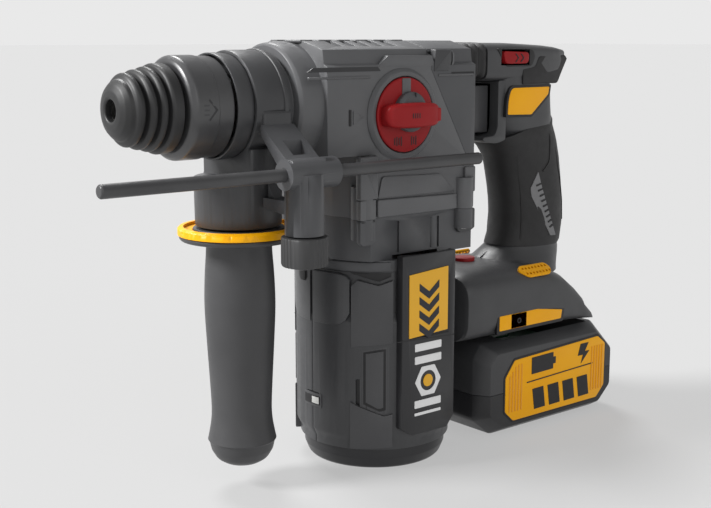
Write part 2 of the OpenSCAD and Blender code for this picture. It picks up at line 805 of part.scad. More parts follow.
module selector_knob() {
    face_y = case_half_w + ring_h + 0.4;
    bar_half = dial_d / 2 - 1;
    color("#93242a") difference() {
        union() {
            cyl_y(dial_x, dial_z, case_half_w + gap, face_y, dial_d / 2);
            cyl_y(dial_x, dial_z, 19, case_half_w + 1, dial_shaft_r);
            intersection() {
                box(dial_x - bar_half, dial_x + bar_half, face_y - 1, face_y + dial_bar_h,
                    dial_z - 7, dial_z + 7);
                cyl_y(dial_x, dial_z, face_y - 1, face_y + dial_bar_h, bar_half);
            }
        }
        box(dial_x - 12.4, dial_x - 22, face_y - 6, face_y + dial_bar_h + 1, dial_z - 4.4, dial_z + 4.4);
    }
}

module selector_button() {
    face_y = case_half_w + ring_h + 0.4;
    color("#6d6e70") box(dial_x - 13, dial_x - 18, face_y - 0.8, face_y + dial_bar_h - 1.5,
        dial_z - 4, dial_z + 4);
}

// ---- Side handle ----

module handle_clamp() {
    x0 = side_x + clamp_w / 2 - 0.5;
    x1 = x0 - clamp_w;
    color("#2e2e30") difference() {
        union() {
            cyl_x(x0, x1, clamp_r);
            translate([side_axis_x, 0, clamp_low]) cylinder(h = 40, r1 = neck_r - 0.5, r2 = neck_r);
            box(x0 - 3, x1 + 2, clamp_r - 6, clamp_r + 1.5, -13, -2);
        }
        cyl_x(x0 + 20, x1 - 20, nose_d / 2 + run_fit);
        box(x0, 0, -40, 40, neck_round_z, 100);
        box(x1, x1 - 40, -40, 40, neck_round_z, 100);
        cyl_z(side_axis_x, 0, clamp_low - 1, -20, bolt_r + 0.1);
        box(side_axis_x + 5.6, side_axis_x - 5.6, -9, 9, -34, -20);
    }
}

module depth_bracket() {
    x0 = side_x + clamp_w / 2 - 1.5;
    x1 = x0 - clamp_w + 2;
    tube_r = rod_d / 2 + 4.2;
    y = rod_side;
    z = -rod_down;
    color("#3b3b3d") difference() {
        union() {
            bar_yz(x0, x1, [
                [clamp_r + 1.5, -8], [clamp_r + 1.5, -13], [y - 5, z + 1], [y + 2, z],
                [y + 6.5, z + 3], [y + 4, z + 7], [y - 1, z + 7.4]
            ]);
            cyl_x(x0 + 2, x1 - 8, tube_r, y, z);
            cyl_z(knob_x, y, z, knob_top + 0.5, 9.5);
            bar_yz(x0 - 5, x1 + 4, [
                [neck_r + 0.5, -44], [y - 4, -44], [y - 4, -51], [neck_r + 0.5, -49]
            ]);
            bar_yz(x0 - 8, x1 + 7, [[neck_r + 0.5, -37], [neck_r + 6, -44], [neck_r + 0.5, -44]]);
        }
        cyl_x(x0 + 5, x1 - 20, rod_d / 2 + 0.1, y, z);
        cyl_z(knob_x, y, z, knob_top - 2, bolt_r + run_fit);
        box(knob_x + 4, knob_x - 7, clamp_r + 11, y - 3, z + 5, 0);
    }
}

module guard_ring() {
    r = guard_d / 2;
    inner = grip_d / 2 + 6;
    color("#f0a91e") translate([side_axis_x, 0, clamp_low - guard_h - gap]) difference() {
        union() {
            cylinder(h = guard_h - 1, r = r);
            translate([0, 0, guard_h - 1.01]) cylinder(h = 1.01, r1 = r, r2 = r - 1);
        }
        translate([0, 0, -1]) cylinder(h = guard_h + 2, r = inner);
        translate([0, 0, guard_h - 1.6]) cylinder(h = 3, r = r - 3);
    }
}

module side_grip() {
    r = grip_d / 2;
    top = clamp_low - gap;
    low = -grip_low;
    color("#252425") translate([side_axis_x, 0, 0]) rotate_extrude() polygon([
        [bolt_r + 0.1, top - 0.6], [r + 6, top - 0.6], [r + 6, top - guard_h],
        [guard_d / 2 - 2, top - guard_h],
        [guard_d / 2 - 3, top - guard_h - 3], [r + 2, top - guard_h - 3.6], [r - 1, top - guard_h - 8],
        [r - 0.6, top - 30], [r, top - 60], [r + 0.5, low + 24], [r + 1.2, low + 12], [r - 0.6, low + 10],
        [r - 1.2, low + 3], [r - 3.5, low], [0, low], [0, low + 4], [bolt_r + 4, low + 4],
        [bolt_r + 4, top - 60], [bolt_r + 0.1, top - 60]
    ]);
}

module handle_bolt() {
    color("silver") {
        box(side_axis_x + 5, side_axis_x - 5, -8, 8, -33.5, -27);
        cyl_z(side_axis_x, 0, -30, clamp_low - 58, bolt_r);
        cyl_z(side_axis_x, 0, clamp_low - 61, clamp_low - 66, bolt_r + 3);
        cyl_z(side_axis_x, 0, clamp_low - 50, clamp_low - 62, bolt_r);
    }
}

module depth_rod() {
    r = rod_d / 2;
    color("#3c3c3e") {
        cyl_x(rod_front - r, rod_front - rod_l + r, r, rod_side, -rod_down);
        for (x = [rod_front - r, rod_front - rod_l + r]) translate([x, rod_side, -rod_down]) sphere(r);
    }
}

module clamp_knob() {
    r = knob_d / 2;
    teeth = 18;
    color("#232325") translate([knob_x, rod_side, 0]) {
        difference() {
            translate([0, 0, knob_top - knob_h]) cylinder(h = knob_h, r = r);
            for (k = [0:teeth - 1]) rotate([0, 0, k * 360 / teeth])
                translate([r + 0.9, 0, knob_top - knob_h - 1]) cylinder(h = knob_h - 2, r = 1.7);
        }
        cyl_z(0, 0, knob_top - 1, -rod_down - rod_d / 2 - 0.3, bolt_r);
    }
}

// ---- Rear handle ----

module bellows() {
    pitch = (rear_x - block_front_x) / 4;
    w = block_half_w;
    color("#1d1c1d") difference() {
        union() {
            box(rear_x, block_front_x, 2 - w, w - 2, block_low + 3, block_top - 1.6);
            for (k = [0:3]) box(rear_x - pitch * k - 0.6, rear_x - pitch * (k + 1) + 1.6, -w, w,
                block_low + 1, block_top + 0.6);
        }
        box(rear_x + 1, block_front_x - 1, 4.4 - w, w - 4.4, block_low + 5.4, block_top - 4);
    }
}

module damping_spring() {
    color("silver") translate([block_front_x + 0.1, 0, (block_top + block_low + 1.4) / 2])
        coil(5, 0.9, 5, rear_x - block_front_x - 0.2);
}

// Superellipse points of a grip section
function grip_section(half_x, half_y) = [for (k = [0:35]) let (a = 10 * k, c = cos(a), s = sin(a))
    [half_x * sign(c) * pow(abs(c), 0.86), half_y * sign(s) * pow(abs(s), 0.86)]];

module grip_bar(inset, low, high) {
    length = high - low;
    translate([grip_x, 0, grip_top_z]) rotate([0, grip_lean, 0]) translate([0, 0, low - grip_top_z])
        linear_extrude(length) polygon(grip_section(grip_depth / 2 - inset, grip_w / 2 - inset));
}

module handle_side_profile(inset) {
    plate_xz(-60, 60, [
        [block_front_x - inset, block_top + 1 - inset], [block_rear_x - 4, block_top - 1.5 - inset],
        [block_rear_x - 13 + inset, 22 - inset / 2], [block_rear_x - 13.5 + inset, 17],
        [block_rear_x - 5 + inset, 8],
        [block_rear_x - 8 + inset, -20], [frame_x + 2 - inset, -24 + inset],
        [frame_x + 2 - inset, block_low - 2],
        [frame_x + 4 - inset, block_low + inset], [block_front_x - inset, block_low + inset]
    ]);
}

// The top block seen from above, with its rear corners cut
module block_plan(inset) {
    w = block_half_w - inset;
    translate([0, 0, -60]) linear_extrude(120) polygon([
        [0, w], [block_rear_x - 1 + inset, w], [block_rear_x - 14 + inset, w - 11],
        [block_rear_x - 14 + inset, 11 - w], [block_rear_x - 1 + inset, -w], [0, -w]
    ]);
}

module foot_body(inset) {
    w = foot_half_w - inset;
    intersection() {
        plate_xz(-w, w, [
            [foot_front_x - inset, foot_low], [foot_front_x - inset, -103],
            [rear_x + 2 - inset, foot_top - inset],
            [rear_x - 55, foot_top - inset], [rear_x - 72 + inset, foot_top - inset],
            [rear_x - 80 + inset, -107 - inset], [rear_x - 95 + inset, -119 - inset],
            [foot_rear_x + inset, foot_low + 3], [foot_rear_x + inset, foot_low]
        ]);
        bar_yz(foot_front_x, foot_rear_x, [
            [-w, foot_low - 1], [w, foot_low - 1], [w, -107 - inset], [w - 9, foot_top - inset],
            [9 - w, foot_top - inset], [-w, -107 - inset]
        ]);
        translate([0, 0, -150]) linear_extrude(60) polygon([
            [foot_front_x - inset, w - 9], [foot_front_x - 8, w], [rear_x - 85, w],
            [foot_rear_x + inset, w - 12],
            [foot_rear_x + inset, 12 - w], [rear_x - 85, -w], [foot_front_x - 8, -w],
            [foot_front_x - inset, 9 - w]
        ]);
    }
}

handle_screw_places = [[rear_x - 25, -106], [rear_x - 90, -120], [rear_x - 29, 14], [grip_x - 19, 3]];
function screw_seat(p) = p[1] < -50 ? foot_half_w - 12 : block_half_w - 5;

module handle_body() {
    difference() {
        union() {
            intersection() {
                handle_side_profile(0);
                block_plan(0);
            }
            grip_bar(rubber_t, -104, grip_top_z);
            foot_body(0);
        }
        difference() {
            union() {
                intersection() {
                    handle_side_profile(handle_wall);
                    block_plan(handle_wall);
                }
                grip_bar(rubber_t + handle_wall, -108, grip_top_z + 10);
                difference() {
                    foot_body(handle_wall);
                    box(0, -500, -100, 100, tower_top + gap - 20, tower_top + gap + handle_wall);
                }
            }
            for (p = handle_screw_places) cyl_y(p[0], p[1], -60, 60, 4);
        }
        battery_slot();
        cyl_z(motor_x, 0, -200, 0, barrel_pad_r + 1.5);
        box(rear_x + 10, pivot_x - 10, -lug_half_w - gap, lug_half_w + gap, pivot_z - 12, pivot_z + 12);
        cyl_y(pivot_x, pivot_z, -18, 18, pivot_r);
        trigger_slot();
        cyl_z(gauge_x, 0, foot_top - 10, foot_top + 5, gauge_r + gap / 2);
        box(rear_x - 32, rear_x - 62, -60, 60, 17.6, 26.6);
        for (p = handle_screw_places) {
            cyl_y(p[0], p[1], -60, 60, 1.9);
            cyl_y(p[0], p[1], -screw_seat(p), -60, 3.6);
        }
    }
}

module battery_slot() {
    far = foot_rear_x - 5;
    box(tower_front_x + 12, far, -tower_half_w - gap, tower_half_w + gap, tower_neck_z - gap,
        tower_top + gap);
    box(tower_front_x + 12, far, -neck_half_w - gap, neck_half_w + gap, foot_low - 2, tower_neck_z);
}

module trigger_slot() {
    box(rear_x, grip_x + 15, -10.4, 10.4, -21.6, 6.4);
}

module handle_left() {
    color("#2a2a2c") intersection() {
        handle_body();
        box(0, -500, 0, 80, -200, 60);
    }
}

module handle_right() {
    color("#2a2a2c") intersection() {
        handle_body();
        box(0, -500, -80, 0, -200, 60);
    }
}

module grip_rubber() {
    color("#1b1a1b") difference() {
        intersection() {
            grip_bar(0, -93, grip_top_z + 2);
            plate_xz(-60, 60, [
                [frame_x - 40, -24.5], [rear_x, -24.5], [rear_x, -95], [grip_x - 60, -95],
                [grip_x - 60, 0],
                [grip_x - 16, -10], [grip_x, -18]
            ]);
        }
        grip_bar(rubber_t, -120, grip_top_z + 20);
        handle_side_profile(0);
        foot_body(0);
    }
}

module handle_accents() {
    w = foot_half_w;
    b = block_half_w;
    color("#f0a91e") both_sides() {
        plate_xz(b, b + 1, [
            [rear_x - 44, 5.5], [rear_x - 71, 5.5], [rear_x - 70, 1], [rear_x - 58, -10],
            [rear_x - 40.5, -9.5],
            [rear_x - 41, -2]
        ]);
        difference() {
            plate_xz(w, w + 1, [
                [rear_x - 18, -124], [rear_x - 52, -124], [rear_x - 74, -127.5], [rear_x - 73, -132.5],
                [rear_x - 18, -132.5]
            ]);
            cyl_y(rear_x - 35, -128.5, w - 1, w + 2, 2);
        }
        translate([0, w - 4.5, -102]) rotate([-48, 0, 0]) difference() {
            box(rear_x - 40, rear_x - 66, -4.2, 4.2, 0.05, 1.1);
            for (k = [0:7]) for (s = [-1.7, 1.7]) cyl_z(rear_x - 43.5 - 2.8 * k, s, -1, 2, 0.8);
        }
    }
}

module grip_inlay() {
    color("#8f9194") both_sides() intersection() {
        difference() {
            grip_bar(-0.6, -90, -40);
            grip_bar(-0.03, -100, -30);
        }
        plate_xz(4, 60, [
            [grip_x + 1, -46], [grip_x - 4, -56], [grip_x - 18, -85], [grip_x - 12, -85],
            [grip_x + 5, -56]
        ]);
    }
}

module trigger() {
    low = -21;
    high = 6;
    color("#39393b") intersection() {
        box(rear_x - 17, grip_x + 16 + trigger_travel, -10, 10, low, high);
        union() {
            box(rear_x - 26, grip_x + 15, -9.9, 9.9, low, high);
            cyl_y(rear_x - 17 - 22, -6, -10, 10, 22);
        }
    }
}

module trigger_switch() {
    color("#1f1f21") {
        box(grip_x + 15 - gap, grip_x - 8, -8, 8, -19, 4);
        box(grip_x + 10, grip_x - 2, -5, 5, 3, 15);
    }
}

module direction_slider() {
    x0 = rear_x - 35.5;
    color("#93242a") {
        box(x0, x0 - 22, -block_half_w - 0.4, block_half_w + 0.4, 18.2, 26);
    }
}

module gauge_button() {
    color("#93242a") cyl_z(gauge_x, 0, foot_top - 2.5, foot_top + 1.6, gauge_r);
}

module pivot_pin() {
    color("silver") cyl_y(pivot_x, pivot_z, -17.5, 17.5, pivot_r);
}

module controller() {
    color("#1a3a2a") difference() {
        box(rear_x - 34, rear_x - 70, -24, 24, foot_top - 22, foot_top - 9);
        for (k = [0:5]) box(rear_x - 38 - 5.5 * k, rear_x - 41 - 5.5 * k, -22, 22, foot_top - 12,
            foot_top - 8);
    }
}

module terminal_block() {
    x0 = tower_front_x + 11.5;
    color("#2a2a2c") {
        box(x0, tower_front_x + 1.5, -neck_half_w, neck_half_w, foot_low + 2, tower_top);
        for (y = [-12, -4, 4, 12]) box(tower_front_x + 2, tower_front_x - 10, y - 0.4, y + 0.4,
            -137, -130);
    }
}

module handle_screws() {
    color("silver") for (p = handle_screw_places) {
        seat = -screw_seat(p);
        difference() {
            union() {
                cyl_y(p[0], p[1], seat, 12, 1.9);
                cyl_y(p[0], p[1], seat, seat - 2.2, 3.4);
            }
            cyl_y(p[0], p[1], seat - 1, seat - 3, 1.7);
        }
    }
}

// ---- Battery ----

function pack_plan(inset) = let (w = pack_half_w - inset, f = pack_front_x - inset,
    r = pack_rear_x + inset) [
    [f, w - 10], [f - 10, w], [r + 8, w], [r, w - 8], [r, 8 - w], [r + 8, -w], [f - 10, -w], [f, 10 - w]
];

module pack_hull(inset) {
    intersection() {
        translate([0, 0, pack_low + inset]) linear_extrude(pack_top - pack_low - 2 * inset)
            polygon(pack_plan(inset));
        plate_xz(-60, 60, [
            [pack_front_x + 1, pack_low - 1], [pack_front_x + 1, pack_top + 1],
            [pack_rear_x + 15 + inset, pack_top + 1],
            [pack_rear_x + inset, pack_mid], [pack_rear_x + inset, pack_low + 9],
            [pack_rear_x + 10 + inset, pack_low - 1]
        ]);
    }
}

module battery_shell() {
    difference() {
        union() {
            pack_hull(0);
            box(tower_front_x, tower_rear_x, -neck_half_w, neck_half_w, pack_top - 1, tower_top);
            box(tower_front_x, tower_rear_x, -tower_half_w, tower_half_w, tower_neck_z, tower_top);
        }
        pack_hull(2.5);
        box(tower_front_x - 12, tower_rear_x + 3, 3 - neck_half_w, neck_half_w - 3, pack_top - 3,
            tower_top - 3);
        for (y = [-12, -4, 4, 12]) box(tower_front_x + 1, tower_front_x - 12.5, y - 1, y + 1, -138,
            tower_top + 1);
        box(pack_rear_x - 1, pack_rear_x + 12, -13, 13, pack_mid - 12, pack_mid - 2);
        both_sides() plate_xz(pack_half_w - label_t, pack_half_w + 1, label_outline(0.3));
    }
}

function label_outline(grow) = [
    [pack_rear_x + 9 - grow, pack_top - 11], [pack_rear_x + 9 - grow, pack_low + 14],
    [pack_rear_x + 16, pack_low + 4.5 - grow], [pack_front_x - 20, pack_low + 4.5 - grow],
    [pack_front_x - 15 + grow, pack_low + 12], [pack_front_x - 15 + grow, pack_top - 18],
    [pack_front_x - 22, pack_top - 8.5 + grow], [pack_rear_x + 14, pack_top - 6.5 + grow]
];

module battery_case_upper() {
    color("#2c2c2e") intersection() {
        battery_shell();
        box(0, -500, -80, 80, pack_mid - 15, 0);
    }
}

module battery_case_lower() {
    color("#232325") intersection() {
        battery_shell();
        box(0, -500, -80, 80, pack_mid - 15, -300);
    }
}

module battery_labels() {
    color("#f0a91e") both_sides() plate_xz(pack_half_w - label_t, pack_half_w + 0.2, label_outline(0));
}

module battery_cells() {
    color("#3b6ea5") for (row = [0:1]) for (k = [0:4])
        cyl_y(pack_front_x - cell_d / 2 - 9.8 - (cell_d + 1.6) * k,
            pack_low + 3.5 + cell_d / 2 + (cell_d + 0.6) * row,
            -cell_l / 2, cell_l / 2, cell_d / 2);
}

module cell_board() {
    z = pack_low + 4.4 + 2 * cell_d + 1.2;
    color("#1f5c3a") {
        box(pack_front_x - 20, pack_front_x - 92, -16, 16, z, z + 1.6);
        for (y = [-8, 0, 8]) box(tower_front_x - 13.5, tower_front_x - 30, y - 2, y + 2, z + 1.5, z + 7);
    }
}

module release_button() {
    color("#93242a") box(pack_rear_x - 0.8, pack_rear_x + 6, -12.6, 12.6, pack_mid - 11.6,
        pack_mid - 2.4);
}

gear_housing();
rear_cover();
mid_housing();
motor_shell_left();
motor_shell_right();
motor_cap();
side_panel_left();
side_panel_right();
housing_screws();
nose_ring();
dust_cap();
lock_sleeve();
sleeve_spring();
tool_holder();
lock_balls();
handle_clamp();
depth_bracket();
guard_ring();
side_grip();
handle_bolt();
depth_rod();
clamp_knob();
selector_ring();
selector_knob();
selector_button();
bellows();
handle_left();
handle_right();
grip_rubber();
handle_accents();
grip_inlay();
trigger();
trigger_switch();
direction_slider();
gauge_button();
controller();
terminal_block();
pivot_pin();
damping_spring();
handle_screws();
battery_case_upper();
battery_case_lower();
battery_labels();
battery_cells();
cell_board();
release_button();
stator();
rotor();
fan();
motor_bearings();
intermediate_shaft();
face_gear();
wobble_hub();
wobble_ring();
spindle_gear();
piston();
piston_pin();
striker();
beat_piece();
drive_bearings();
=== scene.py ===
# Rotary hammer: the finished pieces and their finishes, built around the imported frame.
import bpy
import bmesh
import json
import math
from mathutils import Vector, Matrix
from mathutils.bvhtree import BVHTree

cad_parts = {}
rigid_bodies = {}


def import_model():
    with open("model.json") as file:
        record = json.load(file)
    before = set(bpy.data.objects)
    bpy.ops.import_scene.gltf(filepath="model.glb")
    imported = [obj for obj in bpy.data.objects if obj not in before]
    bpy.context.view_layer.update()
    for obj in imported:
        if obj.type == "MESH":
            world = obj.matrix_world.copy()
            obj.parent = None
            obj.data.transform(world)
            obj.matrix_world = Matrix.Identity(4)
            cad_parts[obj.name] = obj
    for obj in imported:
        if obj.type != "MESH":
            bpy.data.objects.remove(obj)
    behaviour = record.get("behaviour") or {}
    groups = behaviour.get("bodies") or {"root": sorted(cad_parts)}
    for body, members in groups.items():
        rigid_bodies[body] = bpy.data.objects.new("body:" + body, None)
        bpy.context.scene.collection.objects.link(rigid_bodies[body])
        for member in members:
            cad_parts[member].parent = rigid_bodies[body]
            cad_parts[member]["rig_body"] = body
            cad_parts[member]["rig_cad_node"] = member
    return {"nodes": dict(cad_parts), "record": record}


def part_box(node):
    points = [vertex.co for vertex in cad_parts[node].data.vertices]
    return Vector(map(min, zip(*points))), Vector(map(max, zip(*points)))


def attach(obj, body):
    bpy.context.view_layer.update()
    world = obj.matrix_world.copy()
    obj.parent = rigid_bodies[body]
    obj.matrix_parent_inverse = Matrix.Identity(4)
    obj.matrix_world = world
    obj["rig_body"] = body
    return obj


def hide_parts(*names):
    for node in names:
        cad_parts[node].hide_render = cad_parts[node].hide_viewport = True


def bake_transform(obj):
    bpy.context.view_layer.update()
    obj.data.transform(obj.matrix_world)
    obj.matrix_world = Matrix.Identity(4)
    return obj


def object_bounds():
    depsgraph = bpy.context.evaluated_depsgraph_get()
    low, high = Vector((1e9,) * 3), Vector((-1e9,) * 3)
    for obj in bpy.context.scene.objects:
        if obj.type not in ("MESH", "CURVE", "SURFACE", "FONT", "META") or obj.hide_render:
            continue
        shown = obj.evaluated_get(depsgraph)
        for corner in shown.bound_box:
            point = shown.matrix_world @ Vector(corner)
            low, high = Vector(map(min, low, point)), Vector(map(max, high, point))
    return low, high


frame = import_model()
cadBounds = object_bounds()
nodes = frame["nodes"]
slotOf = {row["node"]: row["material_slot"] for row in frame["record"]["subparts"]}
bodyOf = {name: body for body, names in frame["record"]["behaviour"]["bodies"].items() for name in names}
mm = 0.001
print("frame loaded:", len(nodes), "nodes")


# ---- finishes

def newShader(name):
    mat = bpy.data.materials.new(name)
    mat.use_nodes = True
    tree = mat.node_tree
    tree.nodes.clear()
    out = tree.nodes.new("ShaderNodeOutputMaterial")
    bsdf = tree.nodes.new("ShaderNodeBsdfPrincipled")
    tree.links.new(bsdf.outputs[0], out.inputs[0])
    coord = tree.nodes.new("ShaderNodeTexCoord")
    return mat, tree, bsdf, coord.outputs["Object"]


def noiseOn(tree, place, scale, detail=2.0, rough=0.5):
    tex = tree.nodes.new("ShaderNodeTexNoise")
    tex.inputs["Scale"].default_value = scale
    tex.inputs["Detail"].default_value = detail
    tex.inputs["Roughness"].default_value = rough
    tree.links.new(place, tex.inputs["Vector"])
    return tex.outputs["Fac"]


def spread(tree, value, low, high, toLow, toHigh):
    rng = tree.nodes.new("ShaderNodeMapRange")
    rng.inputs["From Min"].default_value = low
    rng.inputs["From Max"].default_value = high
    rng.inputs["To Min"].default_value = toLow
    rng.inputs["To Max"].default_value = toHigh
    tree.links.new(value, rng.inputs["Value"])
    return rng.outputs[0]


def mixColour(tree, fac, a, b):
    mix = tree.nodes.new("ShaderNodeMix")
    mix.data_type = "RGBA"
    mix.inputs["A"].default_value = (*a, 1)
    mix.inputs["B"].default_value = (*b, 1)
    tree.links.new(fac, mix.inputs["Factor"])
    return mix.outputs["Result"]


def bumpFrom(tree, height, strength, depth, under=None):
    bump = tree.nodes.new("ShaderNodeBump")
    bump.inputs["Strength"].default_value = strength
    bump.inputs["Distance"].default_value = depth
    tree.links.new(height, bump.inputs["Height"])
    if under is not None:
        tree.links.new(under, bump.inputs["Normal"])
    return bump.outputs["Normal"]


def mouldedFinish(name, colour, worn, rough, grain=1900, grainDepth=0.00005, strength=0.35, specular=0.45):
    mat, tree, bsdf, place = newShader(name)
    cloudy = noiseOn(tree, place, 38, 4)            # slow drift of shade over a moulding
    scuffs = noiseOn(tree, place, 260, 6, 0.7)      # fine rubbed patches
    grainTex = noiseOn(tree, place, grain, 3, 0.6)  # spark-eroded mould texture
    shade = spread(tree, cloudy, 0.35, 0.68, 0, 1)
    tree.links.new(mixColour(tree, shade, colour, worn), bsdf.inputs["Base Color"])
    tree.links.new(spread(tree, scuffs, 0.3, 0.75, rough - 0.06, rough + 0.07), bsdf.inputs["Roughness"])
    tree.links.new(bumpFrom(tree, grainTex, strength, grainDepth), bsdf.inputs["Normal"])
    bsdf.inputs["Specular IOR Level"].default_value = specular
    return mat


def turnedSteel(name, colour, worn, rough, ringScale=900):
    mat, tree, bsdf, place = newShader(name)
    stretch = tree.nodes.new("ShaderNodeMapping")
    stretch.inputs["Scale"].default_value = (1, 0.04, 0.04)   # marks of the cutting tool run round the axis
    tree.links.new(place, stretch.inputs["Vector"])
    marks = noiseOn(tree, stretch.outputs[0], ringScale, 3)
    stain = noiseOn(tree, place, 120, 5)
    stained = spread(tree, stain, 0.4, 0.7, 0, 1)
    tree.links.new(mixColour(tree, stained, colour, worn), bsdf.inputs["Base Color"])
    tree.links.new(spread(tree, marks, 0.3, 0.7, rough - 0.08, rough + 0.1), bsdf.inputs["Roughness"])
    tree.links.new(bumpFrom(tree, marks, 0.3, 0.00003), bsdf.inputs["Normal"])
    bsdf.inputs["Metallic"].default_value = 1.0
    return mat


mouldings = {                      # name, colour, worn colour, roughness, then grain scale and depth
    "housing_grey": ("mouldedHousing", (0.090, 0.091, 0.095), (0.102, 0.103, 0.107), 0.42),
    "mid_grey": ("mouldedMid", (0.062, 0.063, 0.067), (0.073, 0.074, 0.078), 0.44),
    "dark_plastic": ("mouldedDark", (0.040, 0.0405, 0.043), (0.049, 0.0495, 0.052), 0.43),
    "panel_black": ("mouldedPanel", (0.016, 0.016, 0.0175), (0.021, 0.021, 0.023), 0.36),
    "black_rubber": ("softRubber", (0.012, 0.0115, 0.012), (0.018, 0.0175, 0.018), 0.6, 1300, 0.00008),
    "light_plastic": ("mouldedPale", (0.62, 0.62, 0.60), (0.56, 0.56, 0.54), 0.4),
    "cap_rubber": ("capRubber", (0.016, 0.016, 0.0165), (0.022, 0.022, 0.023), 0.47, 1500),
    "grip_plastic": ("gripPlastic", (0.044, 0.044, 0.046), (0.052, 0.052, 0.054), 0.46),
    "knob_plastic": ("knobPlastic", (0.034, 0.034, 0.035), (0.042, 0.042, 0.043), 0.45),
    "rod_satin": ("rodSatin", (0.045, 0.045, 0.047), (0.058, 0.058, 0.060), 0.36, 900),
    "mark_ink": ("markInk", (0.006, 0.006, 0.007), (0.010, 0.009, 0.010), 0.5, 700),
    "handle_shell": ("handleShell", (0.045, 0.0455, 0.048), (0.055, 0.0555, 0.058), 0.42),
    "housing_dark": ("triggerMoulding", (0.052, 0.052, 0.055), (0.062, 0.062, 0.065), 0.40),
    "inlay_grey": ("inlayGrey", (0.16, 0.16, 0.165), (0.18, 0.18, 0.185), 0.45),
    "deep_yellow": ("deepYellow", (0.80, 0.33, 0.008), (0.77, 0.31, 0.007), 0.4),
    "housing_light": ("housingRaised", (0.098, 0.099, 0.103), (0.110, 0.111, 0.115), 0.40),
    "motor_pad": ("motorPad", (0.050, 0.050, 0.053), (0.060, 0.060, 0.063), 0.42),
    "motor_front": ("motorFront", (0.046, 0.0465, 0.049), (0.055, 0.0555, 0.058), 0.36),
    "badge_yellow": ("badgeYellow", (0.80, 0.42, 0.018), (0.77, 0.40, 0.016), 0.4, 900, 0.00002),
    "badge_ink": ("badgeInk", (0.008, 0.009, 0.016), (0.011, 0.012, 0.020), 0.42, 900, 0.00002),
    "label_white": ("labelWhite", (0.80, 0.80, 0.80), (0.76, 0.76, 0.76), 0.42, 900, 0.00002),
    "board": ("circuitBoard", (0.012, 0.085, 0.035), (0.010, 0.065, 0.028), 0.4, 900),
    "cell_wrap": ("cellWrap", (0.03, 0.10, 0.26), (0.025, 0.085, 0.22), 0.3, 500),
}
metals = {                         # name, colour, stained colour, roughness, then scale of the marks
    "bright_steel": ("brightSteel", (0.62, 0.62, 0.61), (0.52, 0.52, 0.51), 0.27),
    "gear_steel": ("gearSteel", (0.36, 0.355, 0.35), (0.27, 0.265, 0.26), 0.34),
    "black_steel": ("blackedSteel", (0.055, 0.055, 0.058), (0.085, 0.084, 0.084), 0.36, 700),
    "copper": ("windingCopper", (0.66, 0.27, 0.12), (0.52, 0.19, 0.08), 0.32, 1500),
}
finishes = {key: mouldedFinish(*row) for key, row in mouldings.items()}
finishes.update({key: turnedSteel(*row) for key, row in metals.items()})
finishes["yellow_plastic"] = mouldedFinish("mouldedYellow", (0.90, 0.42, 0.004), (0.87, 0.39, 0.003), 0.40,
                                           specular=0.2)
finishes["red_plastic"] = mouldedFinish("mouldedRed", (0.26, 0.008, 0.010), (0.29, 0.010, 0.012), 0.42,
                                        specular=0.2)
finishes["satin_dark"] = mouldedFinish("satinSleeve", (0.040, 0.040, 0.042), (0.050, 0.050, 0.052), 0.34,
                                       strength=0.15, specular=0.7)
for name, node in nodes.items():
    node.data.materials.clear()
    node.data.materials.append(finishes[slotOf[name]])
print("finishes made:", len(finishes))


# ---- small helpers for modelling by operator

def deselectAll():
    if bpy.context.object and bpy.context.object.mode != "OBJECT":
        bpy.ops.object.mode_set(mode="OBJECT")
    bpy.ops.object.select_all(action="DESELECT")


def pick(piece):
    deselectAll()
    piece.select_set(True)
    bpy.context.view_layer.objects.active = piece
    return piece


def applyModifier(piece, kind, **settings):
    pick(piece)
    mod = piece.modifiers.new(kind, kind)
    for key, value in settings.items():
        setattr(mod, key, value)
    bpy.ops.object.modifier_apply(modifier=mod.name)
    return piece


def smoothEdges(piece, angle=32):
    pick(piece)
    bpy.ops.object.shade_smooth_by_angle(angle=math.radians(angle))
    return piece


def skinArea(mesh):
    mesh.calc_loop_triangles()
    return sum(tri.area for tri in mesh.loop_triangles)


def softenEdges(piece, width, angle=28, segments=2):
    before = piece.data.copy()
    bare = BVHTree.FromPolygons([v.co for v in before.vertices], [p.vertices[:] for p in before.polygons])
    area = skinArea(before)
    for share in (1, 0.75, 0.55, 0.4, 0.28, 0.18):    # a round that crosses itself is tried narrower
        size = width * share * mm
        piece.data = before.copy()
        applyModifier(piece, "BEVEL", width=size, segments=segments, limit_method="ANGLE",
                      angle_limit=math.radians(angle), use_clamp_overlap=False, miter_outer="MITER_ARC")
        strayed = max((v.co - bare.find_nearest(v.co)[0]).length for v in piece.data.vertices)
        if strayed < 0.75 * size and skinArea(piece.data) < area * 1.002:
            break
    else:
        piece.data = before.copy()
        print("left sharp:", piece.name)
    return smoothEdges(piece)


def settle(piece, node, slot=None, *replaced, finish=None):
    slot = slot or slotOf[node]                  # rides with the node's body, in its slot unless told
    piece.data.materials.clear()
    piece.data.materials.append(finishes[finish or slot])
    body = bodyOf[node]
    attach(piece, body)
    if replaced:
        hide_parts(*replaced)
    return piece


def standFor(piece, node, finish=None):
    return settle(piece, node, None, node, finish=finish)


def copyOfNode(name, pieceName):
    source = nodes[name]
    piece = bpy.data.objects.new(pieceName, source.data.copy())
    bpy.context.scene.collection.objects.link(piece)
    pick(piece)
    bpy.ops.object.mode_set(mode="EDIT")
    bpy.ops.mesh.select_all(action="SELECT")
    bpy.ops.mesh.remove_doubles(threshold=0.000002)
    bpy.ops.mesh.dissolve_limited(angle_limit=math.radians(0.4))
    bpy.ops.object.mode_set(mode="OBJECT")
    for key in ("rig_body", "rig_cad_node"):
        if key in piece:
            del piece[key]
    return piece


